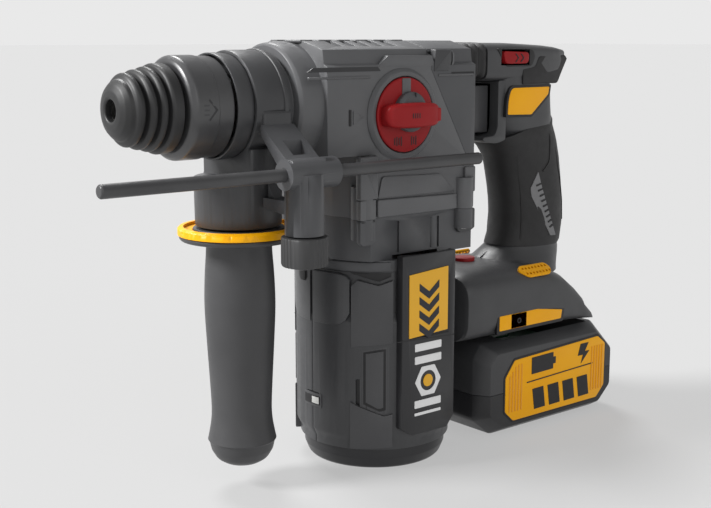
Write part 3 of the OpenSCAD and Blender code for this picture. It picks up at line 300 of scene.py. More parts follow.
def rounded(outline, radius, steps=4):
    ring = []
    for k, corner in enumerate(outline):
        here = Vector(corner[:2])
        back = Vector(outline[k - 1][:2]) - here
        ahead = Vector(outline[(k + 1) % len(outline)][:2]) - here
        reach = corner[2] if len(corner) > 2 else radius     # a third value is that corner's own radius
        cut = min(reach, back.length * 0.45, ahead.length * 0.45)
        if cut < 0.02:
            ring.append(tuple(here))
            continue
        first, last = here + back.normalized() * cut, here + ahead.normalized() * cut
        for step in range(steps + 1):
            t = step / steps
            ring.append(tuple(first * (1 - t) ** 2 + here * 2 * t * (1 - t) + last * t * t))
    return ring


def slab(x0, x1, z0, z1):
    return [(x0, z0), (x1, z0), (x1, z1), (x0, z1)]


def curveThrough(points, steps=6):
    curve = []
    for k in range(len(points) - 1):
        p0, p1, p2, p3 = (Vector(points[min(max(k + n, 0), len(points) - 1)]) for n in (-1, 0, 1, 2))
        for step in range(steps):
            t = step / steps
            curve.append((2 * p1 + (p2 - p0) * t + (2 * p0 - 5 * p1 + 4 * p2 - p3) * t * t
                          + (3 * p1 - p0 - 3 * p2 + p3) * t ** 3) / 2)
    curve.append(Vector(points[-1]))
    return curve


def ringOf(pieceName, places):
    deselectAll()
    bpy.ops.mesh.primitive_circle_add(vertices=len(places))
    piece = bpy.context.object
    piece.name = pieceName
    for v, place in zip(piece.data.vertices, places):
        v.co = Vector(place) * mm
    return piece


def tidySkin(piece, merge=0.000003):
    bpy.ops.mesh.select_all(action="SELECT")
    bpy.ops.mesh.remove_doubles(threshold=merge)
    bpy.ops.mesh.delete_loose(use_verts=True, use_edges=True, use_faces=False)
    bpy.ops.mesh.select_all(action="SELECT")
    bpy.ops.mesh.normals_make_consistent(inside=False)
    bpy.ops.object.mode_set(mode="OBJECT")
    shape = bmesh.new()
    shape.from_mesh(piece.data)
    inward = shape.calc_volume(signed=True) < 0
    shape.free()
    if inward:                                            # a skin facing inwards is turned out
        bpy.ops.object.mode_set(mode="EDIT")
        bpy.ops.mesh.select_all(action="SELECT")
        bpy.ops.mesh.flip_normals()
        bpy.ops.object.mode_set(mode="OBJECT")
    return piece


def spunPiece(pieceName, outline, along="X", centre=(0, 0, 0), radius=0.4, steps=112):
    spot = {"X": lambda a, r: (a, 0, r), "Y": lambda a, r: (r, a, 0), "Z": lambda a, r: (r, 0, a)}[along]
    axis = {"X": (1, 0, 0), "Y": (0, 1, 0), "Z": (0, 0, 1)}[along]
    base = Vector(centre)
    piece = ringOf(pieceName, [base + Vector(spot(a, r)) for a, r in rounded(outline, radius)])
    bpy.ops.object.mode_set(mode="EDIT")
    bpy.ops.mesh.select_all(action="SELECT")
    bpy.ops.mesh.spin(steps=steps, angle=2 * math.pi, center=base * mm, axis=axis)
    tidySkin(piece)
    return smoothEdges(piece)


def platePiece(pieceName, outline, low, high, along="Y", radius=0.8, edge=0.35):
    spot = {"X": lambda a, b: (low, a, b), "Y": lambda a, b: (a, low, b),
            "Z": lambda a, b: (a, b, low)}[along]
    step = Vector({"X": (1, 0, 0), "Y": (0, 1, 0), "Z": (0, 0, 1)}[along]) * (high - low) * mm
    piece = ringOf(pieceName, [spot(a, b) for a, b in rounded(outline, radius)])
    bpy.ops.object.mode_set(mode="EDIT")
    bpy.ops.mesh.select_all(action="SELECT")
    bpy.ops.mesh.edge_face_add()
    bpy.ops.mesh.extrude_region_move(TRANSFORM_OT_translate={"value": step})
    tidySkin(piece)
    return softenEdges(piece, edge) if edge else smoothEdges(piece)


def loftPiece(pieceName, sections):
    around, rows = len(sections[0]), len(sections)
    deselectAll()
    bpy.ops.mesh.primitive_grid_add(x_subdivisions=around, y_subdivisions=rows - 1)
    piece = bpy.context.object
    piece.name = pieceName
    for k, v in enumerate(piece.data.vertices):
        v.co = Vector(sections[k // (around + 1)][k % (around + 1) % around]) * mm
    bpy.ops.object.mode_set(mode="EDIT")
    bpy.ops.mesh.select_all(action="SELECT")
    bpy.ops.mesh.remove_doubles(threshold=0.000001)
    bpy.ops.mesh.fill_holes(sides=0)
    tidySkin(piece, 0.000001)
    return smoothEdges(piece, 40)


def ovalRing(centre, halfA, halfB, wayA, wayB, power=2.6, around=56):
    ring = []
    for k in range(around):
        turn = 2 * math.pi * k / around
        c, s = math.cos(turn), math.sin(turn)
        a = math.copysign(abs(c) ** (2 / power), c) * halfA
        b = math.copysign(abs(s) ** (2 / power), s) * halfB
        ring.append(Vector(centre) + Vector(wayA) * a + Vector(wayB) * b)
    return ring


def wrapOnTube(piece, along="X", centre=(0, 0, 0)):
    base = Vector(centre) * mm
    for v in piece.data.vertices:
        at = v.co - base
        side = at.z if along == "X" else at.x         # how far round the tube the flat piece reaches
        turn = side / max(at.y, 0.001)
        if along == "X":
            v.co = base + Vector((at.x, at.y * math.cos(turn), at.y * math.sin(turn)))
        else:
            v.co = base + Vector((at.y * math.sin(turn), at.y * math.cos(turn), at.z))
    return smoothEdges(piece)


def otherSide(piece, pieceName):
    twin = bpy.data.objects.new(pieceName, piece.data.copy())
    bpy.context.scene.collection.objects.link(twin)
    for v in twin.data.vertices:
        v.co.y = -v.co.y
    twin.data.update()
    pick(twin)
    bpy.ops.object.mode_set(mode="EDIT")
    tidySkin(twin)
    return twin


def carve(piece, *cutters):
    for cutter in cutters:
        applyModifier(piece, "BOOLEAN", operation="DIFFERENCE", object=cutter, solver="MANIFOLD")
        bpy.data.objects.remove(cutter)
    return smoothEdges(piece)


# ---- mouldings whose shape is the node's own, with their edges rounded
softened = {
    "gear_housing": 0.9, "rear_cover": 0.7, "mid_housing": 0.6, "motor_shell_left": 0.6,
    "motor_shell_right": 0.6, "side_panel_left": 0.5, "side_panel_right": 0.5, "nose_ring": 0.4,
    "handle_clamp": 0.9, "depth_bracket": 0.7, "guard_ring": 0.5, "gauge_button": 0.2,
    "release_button": 0.5, "housing_screws": 0.2, "handle_screws": 0.2,
}
rearScrew = {"beyond": -0.289, "shift": 0.0095}     # the rearmost screw stays inside the slim neck
for name, width in softened.items():
    piece = copyOfNode(name, name + "_moulded")
    softenEdges(piece, width)
    if name == "handle_screws":
        for v in piece.data.vertices:
            v.co.x += rearScrew["shift"] if v.co.x < rearScrew["beyond"] else 0
    standFor(piece, name)
print("mouldings rounded:", len(softened))

# ---- bellows between the gear case and the sprung handle
lowB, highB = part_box("bellows")
fold = {"count": 4, "depth": 0.75, "rows": 48, "middleZ": 20.1}
foldSections = []
for k in range(fold["rows"] + 1):
    t = k / fold["rows"]
    swell = fold["depth"] * math.cos(2 * math.pi * fold["count"] * (t - 0.125)) - fold["depth"]
    x = (highB.x + (lowB.x - highB.x) * t) / mm
    foldSections.append(ovalRing((x, 0, fold["middleZ"]), 10.6 + swell, 20.2 + swell,
                                 (0, 0, 1), (0, 1, 0), 6, 72))
bellows = loftPiece("bellows_folded", foldSections)
bellows.data.materials.clear()
bellows.data.materials.append(finishes["black_rubber"])
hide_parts("bellows")
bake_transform(bellows)
print("bellows made")

# ---- chuck: dust cap, locking sleeve and the ring behind them
chuck = {"capR": 21.6, "sleeveR": 25.3, "rearR": 24.8, "steps": 144}
dustCap = spunPiece("dust_cap_flanged", [
    (-4, 5.2), (-0.7, 5.2), (-0.2, 6.4), (-0.6, 9.2), (-1.9, 12.2), (-4.0, 14.3), (-5.6, 14.8),
    (-6.2, 16.3), (-7.4, 17.4), (-9.2, 17.4), (-9.7, 14.6), (-11.0, 14.6), (-11.7, 17.6), (-13.0, 18.9),
    (-14.6, 18.9), (-15.1, 16.2), (-16.4, 16.2), (-17.1, 19.0), (-18.2, 20.1), (-19.7, 20.1), (-20.2, 17.6),
    (-21.3, 17.6), (-21.9, 20.6), (-23.0, chuck["capR"]), (-27.9, chuck["capR"]), (-27.9, 11.1),
    (-4, 11.1)], radius=0.55, steps=chuck["steps"])
settle(dustCap, "dust_cap", "black_rubber", "dust_cap", finish="cap_rubber")
lockSleeve = spunPiece("lock_sleeve_turned", [
    (-30, 22.2), (-30.7, 23.6), (-32.6, chuck["sleeveR"] - 0.2), (-33.6, chuck["sleeveR"]),
    (-44.5, chuck["sleeveR"]), (-45.0, chuck["rearR"]), (-53.1, chuck["rearR"]), (-53.7, 24.2),
    (-53.7, 22.6), (-43, 22.6), (-43, 12.2), (-35, 12.2), (-35, 15), (-30, 15)], radius=0.5,
    steps=chuck["steps"])
standFor(lockSleeve, "lock_sleeve", finish="satin_dark")
# The arrow is an engraving whose dark comes from shadow in the groove. It is drawn as a thin raised plate in
# black, so the black is painted shade.
arrow = platePiece("sleeve_arrow_painted_shade", [
    (-38.6, 4.6), (-39.3, 5.2), (-43.6, 0), (-39.3, -5.2), (-38.6, -4.6), (-42.3, 0)], 25.1, 25.42,
    radius=0.1, edge=0)
settle(wrapOnTube(arrow), "lock_sleeve", "panel_black")
for k, z in enumerate((2.2, 0, -2.2)):
    dash = platePiece("sleeve_dash_%d" % k, slab(-36.0, -38.8, z + 0.4, z - 0.4), 25.1, 25.36, radius=0.1,
                      edge=0)
    settle(wrapOnTube(dash), "lock_sleeve", "dark_plastic")
ridge = spunPiece("clamp_ring_ridge", [(-80.4, 27.2), (-80.8, 28.1), (-83.0, 28.1), (-83.5, 27.2)],
                  radius=0.35, steps=chuck["steps"])
settle(ridge, "handle_clamp")
print("chuck made")

# ---- auxiliary handle: waisted grip with its guard, depth rod and lobed knob
side = {"x": -71, "rodY": 50, "rodZ": -30.2, "knobX": -75, "knobR": 11.6, "knobTop": -60.3}
waist = curveThrough([(-69.6, 17.0), (-73.5, 16.9), (-87.5, 17.85), (-102.4, 18.2), (-120.6, 17.4),
                      (-137, 16.5), (-153.6, 15.7), (-161.8, 15.9), (-169.2, 17.1), (-173.0, 17.9)], 5)
gripOutline = [(-61, 4.1), (-61, 23.3), (-64.5, 23.3), (-64.5, 30.0), (-66, 30.4), (-67.4, 29.2), (-68.2, 22),
               *[tuple(p) for p in waist], (-173.6, 17.2), (-178.4, 16.1), (-183.0, 13.4, 2),
               (-185.9, 8.5, 2), (-186, 0, 0), (-182, 0, 0), (-182, 8), (-120.4, 8), (-120.4, 4.1)]
sideGrip = spunPiece("side_grip_waisted", gripOutline, "Z", (side["x"], 0, 0), radius=0.7, steps=96)
standFor(sideGrip, "side_grip", finish="grip_plastic")
rod = spunPiece("depth_rod_turned", [
    (33, 0, 0), (33, 2.5), (32.2, 3.2), (-192.2, 3.2), (-193, 2.5), (-193, 0, 0)],
    centre=(0, side["rodY"], side["rodZ"]), radius=0.3, steps=40)
standFor(rod, "depth_rod", finish="rod_satin")
knobSections = []
for drop, share in ((0, 0.90), (0.35, 0.97), (1.2, 1.0), (7, 1.0), (13.3, 1.0), (14.1, 0.975), (14.5, 0.91)):
    ring = []
    for k in range(180):
        turn = 2 * math.pi * k / 180
        lobe = math.cos(turn * 3 / 2) ** 2                            # three smooth lobes
        rib = 0.55 * (1 - lobe) * max(0, math.cos(turn * 30)) ** 2    # fine ribs in the dips between
        r = (side["knobR"] - 0.9 + 1.5 * lobe ** 2 + rib) * share
        ring.append((side["knobX"] + r * math.cos(turn + 0.9), side["rodY"] + r * math.sin(turn + 0.9),
                     side["knobTop"] - drop))
    knobSections.append(ring)
starKnob = loftPiece("clamp_knob_lobed", knobSections)
standFor(starKnob, "clamp_knob", finish="knob_plastic")
knobShank = spunPiece("clamp_knob_shank", [
    (-61.5, 0, 0), (-61.5, 4), (-33.8, 4), (-33.8, 0, 0)], "Z", (side["knobX"], side["rodY"], 0), steps=32)
settle(knobShank, "clamp_knob", "bright_steel")
print("auxiliary handle made")

# ---- mode selector: ring, disc, bar and lock button
dial = {"x": -151.5, "z": -6.1, "face": 37.0, "discR": 19.4, "barTop": 46.3, "barHalf": 18.4,
        "barFoot": 36.0, "markR": 14.6}
collar = spunPiece("selector_collar", [
    (34.0, 19.9), (36.2, 19.9), (36.5, 20.4), (36.5, 22.2), (34.4, 24.0), (34.0, 24.0)], "Y",
    (dial["x"], 0, dial["z"]), radius=0.3, steps=112)
standFor(collar, "selector_ring", finish="housing_grey")
disc = spunPiece("selector_disc", [
    (34.5, 0, 0), (34.5, dial["discR"]), (36.4, dial["discR"]), (dial["face"], 18.8), (dial["face"], 0, 0)],
    "Y", (dial["x"], 0, dial["z"]), radius=0.3, steps=112)
standFor(disc, "selector_knob")
barRings = []
for k in range(25):
    t = -1 + 2 * k / 24
    end = math.sqrt(max(0.0, 1 - abs(t) ** 12))                     # the ends close in a short round
    top = dial["barTop"] - 1.6 * t * t
    halfZ = (6.5 - 1.0 * t * t) * max(end, 0.0)
    halfY = (top - dial["barFoot"]) / 2 * max(end, 0.0)
    barRings.append(ovalRing((dial["x"] + dial["barHalf"] * t, (top + dial["barFoot"]) / 2, dial["z"]), halfY,
                             halfZ, (0, 1, 0), (0, 0, 1), 5, 48))
bar = loftPiece("selector_bar", barRings)
settle(bar, "selector_knob")
key = platePiece("selector_key", slab(dial["x"] - 2.9, dial["x"] + 2.9, dial["z"] + 9, dial["z"] + 18.9),
                 36.2, 37.5, edge=0.3)
settle(key, "selector_knob", "mid_grey", finish="housing_grey")
lockButton = spunPiece("selector_lock_button", [
    (36.4, 0, 0), (36.4, 10.4), (39.8, 10.4), (41.2, 8.4), (41.4, 0, 0)], "Y",
    (dial["x"] - 2.0, 0, dial["z"] + 1.5), radius=0.6, steps=64)
settle(lockButton, "selector_knob", "mid_grey")
tick = platePiece("selector_tick", slab(dial["x"] - 3.5, dial["x"] - 2.7, dial["z"] + 9.2,
                                        dial["z"] + 11.6), 40.6, 41.5, radius=0.1, edge=0)
settle(tick, "selector_knob", "panel_black")
press = platePiece("selector_button_cap", [
    (dial["x"] - 13.4, dial["z"] - 3.8), (dial["x"] - 17.8, dial["z"] - 3.4),
    (dial["x"] - 17.8, dial["z"] + 3.4), (dial["x"] - 13.4, dial["z"] + 3.8)], 40.5, 45.0, edge=0.5)
standFor(press, "selector_button", finish="red_plastic")
for n, (turn, count) in enumerate(((-112, 3), (-68, 4))):       # plain strokes for the two other modes
    for k in range(count):
        a = math.radians(turn)
        cx = dial["x"] + dial["markR"] * math.cos(a) + (k - (count - 1) / 2) * 1.5
        cz = dial["z"] + dial["markR"] * math.sin(a)
        tall = 2.4 - 0.5 * (k % 2)
        stroke = platePiece("selector_mark_%d_%d" % (n, k),
                            slab(cx - 0.35, cx + 0.35, cz - tall, cz + tall), 36.8, 37.12, radius=0.1,
                            edge=0)
        settle(stroke, "selector_knob", "panel_black", finish="mark_ink")
for k in range(4):
    cx = dial["x"] + 3.2 - 1.5 * k
    stroke = platePiece("bar_mark_%d" % k, slab(cx - 0.3, cx + 0.3, dial["z"] - 1.3, dial["z"] + 1.3),
                        45.9, 46.42, radius=0.1, edge=0)
    settle(stroke, "selector_knob", "panel_black", finish="mark_ink")
print("selector made")

# ---- rear handle: top block, grip core and foot in two halves, with the rubber over the grip
def reading(table, at):
    for (a, *low), (b, *high) in zip(table, table[1:]):
        if (a - at) * (b - at) <= 0:
            t = (at - a) / (b - a)
            return [p + (q - p) * t for p, q in zip(low, high)]
    return table[0][1:] if abs(at - table[0][0]) < abs(at - table[-1][0]) else table[-1][1:]


rear = {"rubberPower": 2.25, "blockPower": 5.5, "footPower": 4.0, "wall": 2.6,
        "sliderX": (-263.2, -239.8), "sliderZ": (17.6, 26.6), "triggerHalf": 10.6, "triggerZ": (-22.4, 7)}
blockTable = [(-229.2, 30.2, 9.2, 19.4), (-232, 30.4, 8.6, 19.8), (-250, 30.3, 8.4, 20),
              (-266, 29.6, 7.0, 20), (-280, 28.9, 8.0, 19.8), (-290, 28.0, 11.5, 18.8),
              (-298, 26.6, 16.6, 16.4), (-302.4, 24.2, 19.4, 12)]      # x, top, bottom, half width
gripTable = [(20, -243, -289, 18.8), (8, -243, -287.6, 19.5), (-6, -243.2, -288.8, 19.4),
             (-16, -243.6, -292.6, 19), (-24, -248, -298.4, 18.4), (-32, -253, -302.6, 18),
             (-42, -255.6, -305.6, 18), (-54, -257.8, -307.8, 18), (-66, -259.6, -309.4, 18),
             (-78, -260, -310, 18), (-88, -258, -308.4, 18), (-93, -254, -307, 18.4), (-98, -246, -306, 20.5),
             (-103, -232, -303, 25), (-108, -222, -300, 30)]           # z, front, back, half width
footTable = [(-199.2, -101.0, 34.6), (-200.2, -99.2, 36.6), (-203, -97.8, 37.6), (-212, -97.2, 38),
             (-245, -97.6, 38), (-268, -100, 38), (-282, -105.6, 38), (-292, -113.6, 37.6),
             (-299, -120.6, 37), (-301, -125, 37), (-308, -132.4, 36),
             (-311.8, -137, 34)]                                       # x, top, half width
footLow = -139


def gripRing(z, inset, slope=0.0):
    front, back, half = reading(gripTable, z)
    middle, reach = (front + back) / 2, (front - back) / 2 - inset
    power = rear["rubberPower"] + 3.0 * min(1.0, max(0.0, (z + 24) / 18))     # boxier above the rubber
    ring = ovalRing((middle, 0, z), reach, half - inset, (1, 0, 0), (0, 1, 0), power, 72)
    for p in ring:
        p.z -= slope * (p.x - middle)
    return ring


def handleSolid(inset, tag):
    block = loftPiece("block" + tag, [
        ovalRing((x + (inset if k == 0 else 0) * -1, 0, (top + low) / 2), (top - low) / 2 - inset,
                 half - inset, (0, 0, 1), (0, 1, 0), rear["blockPower"], 64)
        for k, (x, top, low, half) in enumerate(blockTable)])
    levels = [18, 12, 6, 0, -6, -12, -18, -22, -26, -30, -36, -46, -56, -66, -76, -84, -90, -94, -98, -101,
              -104, -107]
    grip = loftPiece("grip" + tag, [
        gripRing(z, inset + (1.4 if -94 < z < -20 else 0.0)) for z in levels])   # sunk under the rubber
    foot = loftPiece("foot" + tag, [
        ovalRing((x + (inset if k == 0 else -inset if k == 11 else 0) * -1, 0, (top + footLow) / 2),
                 (top - footLow) / 2 - inset, half - inset, (0, 0, 1), (0, 1, 0), rear["footPower"], 72)
        for k, (x, top, half) in enumerate(footTable)])
    for other in (grip, foot):
        applyModifier(block, "BOOLEAN", operation="UNION", object=other, solver="MANIFOLD")
        bpy.data.objects.remove(other)
    return block


def boxCutter(x0, x1, y0, y1, z0, z1):
    deselectAll()
    bpy.ops.mesh.primitive_cube_add(size=1)
    cutter = bpy.context.object
    for v in cutter.data.vertices:
        v.co = Vector((x0 + (x1 - x0) * (v.co.x + 0.5), y0 + (y1 - y0) * (v.co.y + 0.5),
                       z0 + (z1 - z0) * (v.co.z + 0.5))) * mm
    cutter.data.update()
    return cutter


def halfOf(piece, pieceName, planeAt, planeNormal):
    half = bpy.data.objects.new(pieceName, piece.data.copy())
    bpy.context.scene.collection.objects.link(half)
    pick(half)
    bpy.ops.object.mode_set(mode="EDIT")
    bpy.ops.mesh.select_all(action="SELECT")
    bpy.ops.mesh.bisect(plane_co=Vector(planeAt) * mm, plane_no=planeNormal, use_fill=True, clear_inner=True)
    tidySkin(half, 0.000001)
    return smoothEdges(half, 38)


handle = handleSolid(0, "Outer")
carve(handle, handleSolid(rear["wall"], "Inner"), boxCutter(*rear["sliderX"], -30, 30, *rear["sliderZ"]),
      boxCutter(-252, -236, -rear["triggerHalf"], rear["triggerHalf"], *rear["triggerZ"]))
for name, way in (("handle_left", 1), ("handle_right", -1)):
    half = halfOf(handle, name + "_shell", (0, 0.08 * way, 0), (0, way, 0))
    standFor(half, name, finish="handle_shell")
bpy.data.objects.remove(handle)
frameBar = platePiece("trigger_frame", [
    (-240.6, 9), (-240.6, -18), (-238.4, -22.6, 3), (-229.5, -23.2), (-228.4, -24.4), (-230.4, -26.2),
    (-240, -27.4, 3), (-247.4, -25.5), (-248, 9)], -17.4, 17.4, radius=1.6, edge=1.3)
carve(frameBar, boxCutter(-252, -238.6, -rear["triggerHalf"], rear["triggerHalf"], *rear["triggerZ"]))
settle(frameBar, "handle_left", "dark_plastic", finish="handle_shell")

rubberRings = []
for k in range(26):
    t = k / 25
    rubberRings.append(gripRing(-18.6 - 73.4 * t, -0.25 if 0 < k < 25 else 0.7,
                                0.32 * (1 - t) ** 1.5 - 0.06 * t))
rubber = loftPiece("grip_rubber_woven", rubberRings)
standFor(rubber, "grip_rubber")


def hugGrip(piece, lift):
    for v in piece.data.vertices:
        front, back, half = reading(gripTable, v.co.z / mm)
        a = min(0.98, abs(v.co.x / mm - (front + back) / 2) / ((front - back) / 2 + 0.25))
        skin = (half + 0.25) * (1 - a ** rear["rubberPower"]) ** (1 / rear["rubberPower"])
        v.co.y = (skin + (lift if v.co.y > 0.016 else -1.2)) * mm
    return smoothEdges(piece)


def stripAlong(points, width):
    near, far = [], []
    for k, here in enumerate(points):
        way = (Vector(points[min(k + 1, len(points) - 1)]) - Vector(points[max(k - 1, 0)])).normalized()
        across = Vector((-way.y, way.x)) * width / 2
        near.append(tuple(Vector(here) + across))
        far.append(tuple(Vector(here) - across))
    return near + far[::-1]


def bothSides(piece, node, slot=None, *replaced, finish=None):
    twin = otherSide(piece, piece.name + "_far")
    settle(twin, node, slot, *replaced, finish=finish)
    return settle(piece, node, slot, *replaced, finish=finish)


def inkOn(piece, node):
    return bothSides(piece, node, "panel_black", finish="mark_ink")


inlay = hugGrip(platePiece("grip_inlay_left", [
    (-275.4, -46), (-270.6, -56), (-271.6, -61), (-287.6, -86), (-293.4, -86.4), (-279, -56)],
    15, 17.6, radius=0.8, edge=0), 0.55)
bothSides(inlay, "grip_inlay", None, "grip_inlay", finish="inlay_grey")
for k in range(9):                                                     # short bars cast into the inlay
    t = (k + 0.5) / 9
    x, z = -275.2 - 13.6 * t, -52.5 - 29.5 * t
    bar = hugGrip(platePiece("grip_inlay_bar_%d" % k, [
        (x + 1.6, z + 0.1), (x - 1.7, z + 1.2), (x - 2.0, z + 0.3), (x + 1.3, z - 0.8)],
        15, 17.6, radius=0.15, edge=0), 0.8)
    bothSides(bar, "grip_inlay", "dark_plastic", finish="mark_ink")
ridges = {
    "grip_seam_front": curveThrough([(-259.5, -28), (-262.5, -44), (-265.6, -60), (-266.8, -76),
                                     (-265.4, -88)], 6),
    "grip_seam_rear": curveThrough([(-291.5, -13), (-292.4, -26), (-295, -40), (-299.6, -54), (-303, -66),
                                    (-304.6, -78)], 6),
    "grip_seam_spine": curveThrough([(-285.5, -17), (-286.2, -30), (-285.4, -40), (-279.8, -46)], 6),
}
for name, line in ridges.items():
    seam = hugGrip(platePiece(name, stripAlong(line, 0.9), 15, 17.6, radius=0, edge=0), 0.45)
    bothSides(seam, "grip_rubber", "black_rubber")
print("handle made")

# ---- trigger, direction slider, accents and gauge
triggerFace = curveThrough([(-223.5, 6), (-220.6, 2.6), (-221.6, -4), (-223, -11), (-221.6, -17),
                            (-222.4, -21)], 5)
triggerShape = platePiece("trigger_curved", [*[tuple(p) for p in triggerFace], (-239.8, -21, 1),
                                             (-239.8, 6, 1)], -9.8, 9.8, radius=0.2, edge=1.5)
standFor(triggerShape, "trigger", finish="housing_dark")
slider = platePiece("direction_slider_cap", [
    (-240.6, 25.8, 2.6), (-262.4, 25.0, 2.6), (-262.2, 18.4, 3), (-242.6, 18.4, 3)], -20.9, 20.9, edge=0.7)
standFor(slider, "direction_slider")
for k, x in enumerate((-250.2, -254.6)):
    chevron = platePiece("slider_chevron_%d" % k, [
        (x, 24.2), (x - 0.9, 24.2), (x - 3.2, 21.8), (x - 0.9, 19.4), (x, 19.4), (x - 2.3, 21.8)],
        20.6, 21.15, radius=0.1, edge=0)
    bothSides(chevron, "direction_slider", "red_plastic", finish="mark_ink")
surround = platePiece("slider_surround", [
    (-236, 27.4), (-266, 26.6, 3), (-268.4, 22.4, 3), (-265.4, 16.8, 2), (-243.6, 16.8, 2)], 19.0, 20.25,
    radius=1.6, edge=0.25)
carve(surround, boxCutter(*rear["sliderX"], 10, 30, *rear["sliderZ"]))
bothSides(surround, "handle_left", "black_rubber")
tailFit = {"outer": 0.0170, "narrowFrom": -0.284, "slope": 0.22}       # follows the block as it narrows
tail = platePiece("handle_tail_pad", [
    (-258, 15.0, 1), (-268.6, 16.6, 2), (-271.6, 22.6, 2), (-298, 23.0, 1), (-300.6, 20.8), (-294, 12.5, 3),
    (-289.6, 6.4, 2), (-258, 6.4, 1)], 14.5, 20.35, radius=0.8, edge=0.6)
for v in tail.data.vertices:
    if v.co.y > tailFit["outer"]:
        v.co.y -= max(0.0, tailFit["narrowFrom"] - v.co.x) * tailFit["slope"]
bothSides(tail, "handle_left", "black_rubber")
patch = platePiece("handle_patch", [
    (-249, 4.6, 3), (-281.6, 4.6), (-280.8, 0.2), (-266.4, -11.4), (-246.2, -10.8), (-246.6, -2.4, 3)],
    17.2, 20.0, radius=1.0, edge=0.4)
bothSides(patch, "handle_accents", "yellow_plastic", "handle_accents")
patchRim = platePiece("handle_patch_rim", [
    (-248, 6.0, 3), (-283.4, 6.0), (-282.4, -0.6), (-267, -12.8), (-244.8, -12.2), (-245.2, -2.4, 3)],
    17.0, 19.75, radius=1.0, edge=0.3)
bothSides(patchRim, "handle_left", "black_rubber")
insert = platePiece("foot_insert", [
    (-224, -124.2), (-256, -124.2), (-278, -127.6), (-277, -133), (-224, -133)], 36.2, 38.2, radius=0.7,
    edge=0.3)
carve(insert, *[boxCutter(x0, x1, low, 40, -134, -122)
                for x0, x1, low in ((-233.6, -234.4, 37.6), (-245.6, -246.4, 37.6), (-234.4, -245.6, 37.9))])
bothSides(insert, "handle_accents", "yellow_plastic", "handle_accents")
insertRim = platePiece("foot_insert_rim", [
    (-222, -122.4), (-256, -122.4), (-280.6, -126.2), (-279, -135), (-222, -135)], 36.0, 37.9, radius=0.8,
    edge=0.3)
bothSides(insertRim, "handle_left", "black_rubber", finish="mark_ink")
insertHole = spunPiece("foot_insert_hole", [
    (36.5, 0, 0), (36.5, 1.7), (38.35, 1.7), (38.35, 0.9), (37.2, 0, 0)], "Y", (-240.2, 0, -128.8),
    radius=0.1, steps=32)
bothSides(insertHole, "handle_accents", "yellow_plastic", finish="mark_ink")
grilleFit = {"lean": -42, "place": (0, 33.4, -102.3), "holeR": 0.85, "pitch": 2.75}
grille = platePiece("foot_grille", [
    (-246, -4.2, 2), (-268, -4.2, 4), (-270.6, 0, 3), (-268, 4.2, 4), (-250, 4.2, 2), (-243.6, -1, 2)], 0,
    1.5, along="Z", radius=2, edge=0.3)
pins = None
for row, shift in ((-1.9, 0), (1.9, 1.4)):
    for k in range(8):
        deselectAll()
        bpy.ops.mesh.primitive_cylinder_add(
            vertices=14, radius=grilleFit["holeR"] * mm, depth=6 * mm,
            location=((-247.6 - shift - grilleFit["pitch"] * k) * mm, row * mm, 0))
        pin = bpy.context.object
        if pins is None:
            pins = pin
        else:
            pins.select_set(True)
            bpy.context.view_layer.objects.active = pins
            bpy.ops.object.join()
pick(pins)
bpy.ops.object.transform_apply(location=True, rotation=True, scale=True)
carve(grille, pins)
tilt = Matrix.Rotation(math.radians(grilleFit["lean"]), 4, "X")
for v in grille.data.vertices:
    v.co = tilt @ v.co + Vector(grilleFit["place"]) * mm
bothSides(smoothEdges(grille), "handle_accents", "yellow_plastic", "handle_accents")
print("accents made")

# ---- battery: faceted case in two halves, framed labels on both sides
pack = {"middle": (-272, -169.4), "halfX": 58, "halfZ": 28, "split": -170.8}
facets = ((27.6, 0), (28.6, 0.3), (37.0, 4.9), (37.6, 5.6))            # half width, how far drawn in
caseOutline = [(-219, -141.2), (-316, -141.2), (-331.6, -157), (-331.6, -186), (-320, -197.6), (-227, -197.6),
               (-212.4, -186), (-212.4, -149)]


def packRing(y, inset):
    middle = Vector(pack["middle"])
    ring = []
    for x, z in rounded(caseOutline, 2.2, 5):
        arm = Vector((x, z)) - middle
        ring.append((middle.x + arm.x * (1 - inset / pack["halfX"]), y,
                     middle.y + arm.y * (1 - inset / pack["halfZ"])))
    return ring


packRings = [packRing(-y, inset) for y, inset in facets[::-1]] + [packRing(y, inset) for y, inset in facets]
case = loftPiece("packWhole", packRings)
carve(case, boxCutter(-311, -236, -29, 29, -160, -130))                # room for the terminal tower
for name, way in (("battery_case_upper", 1), ("battery_case_lower", -1)):
    half = halfOf(case, name + "_facet", (0, 0, pack["split"] + 0.15 * way), (0, 0, way))
    standFor(half, name)
bpy.data.objects.remove(case)
label = platePiece("battery_label", [
    (-319.6, -155), (-319.6, -182), (-312.6, -189), (-237, -189), (-230, -182.6), (-230, -162),
    (-237.6, -152.4), (-312.6, -149.6)], 36.6, 38.2, radius=1.2, edge=0.4)
bothSides(label, "battery_labels", None, "battery_labels")
labelRim = platePiece("battery_label_rim", [
    (-320.8, -154.6), (-320.8, -182.6), (-313.2, -190.2), (-236.6, -190.2), (-228.8, -183.2),
    (-228.8, -161.4), (-237.2, -151.2), (-313, -148.4)], 36.4, 37.9, radius=1.2, edge=0.3)
inkOn(labelRim, "battery_labels")
for k in range(5):
    for n, x in enumerate((-233.4 - 2.5 * k, -317.0 + 2.5 * k)):
        top = -161.6 + 2.6 * k if n == 0 and k < 3 else -155.4
        rib = platePiece("label_rib_%d_%d" % (n, k), slab(x - 0.55, x + 0.55, top, -183.4), 37.9, 38.5,
                         radius=0.2, edge=0.2)
        bothSides(rib, "battery_labels", "yellow_plastic", finish="deep_yellow")
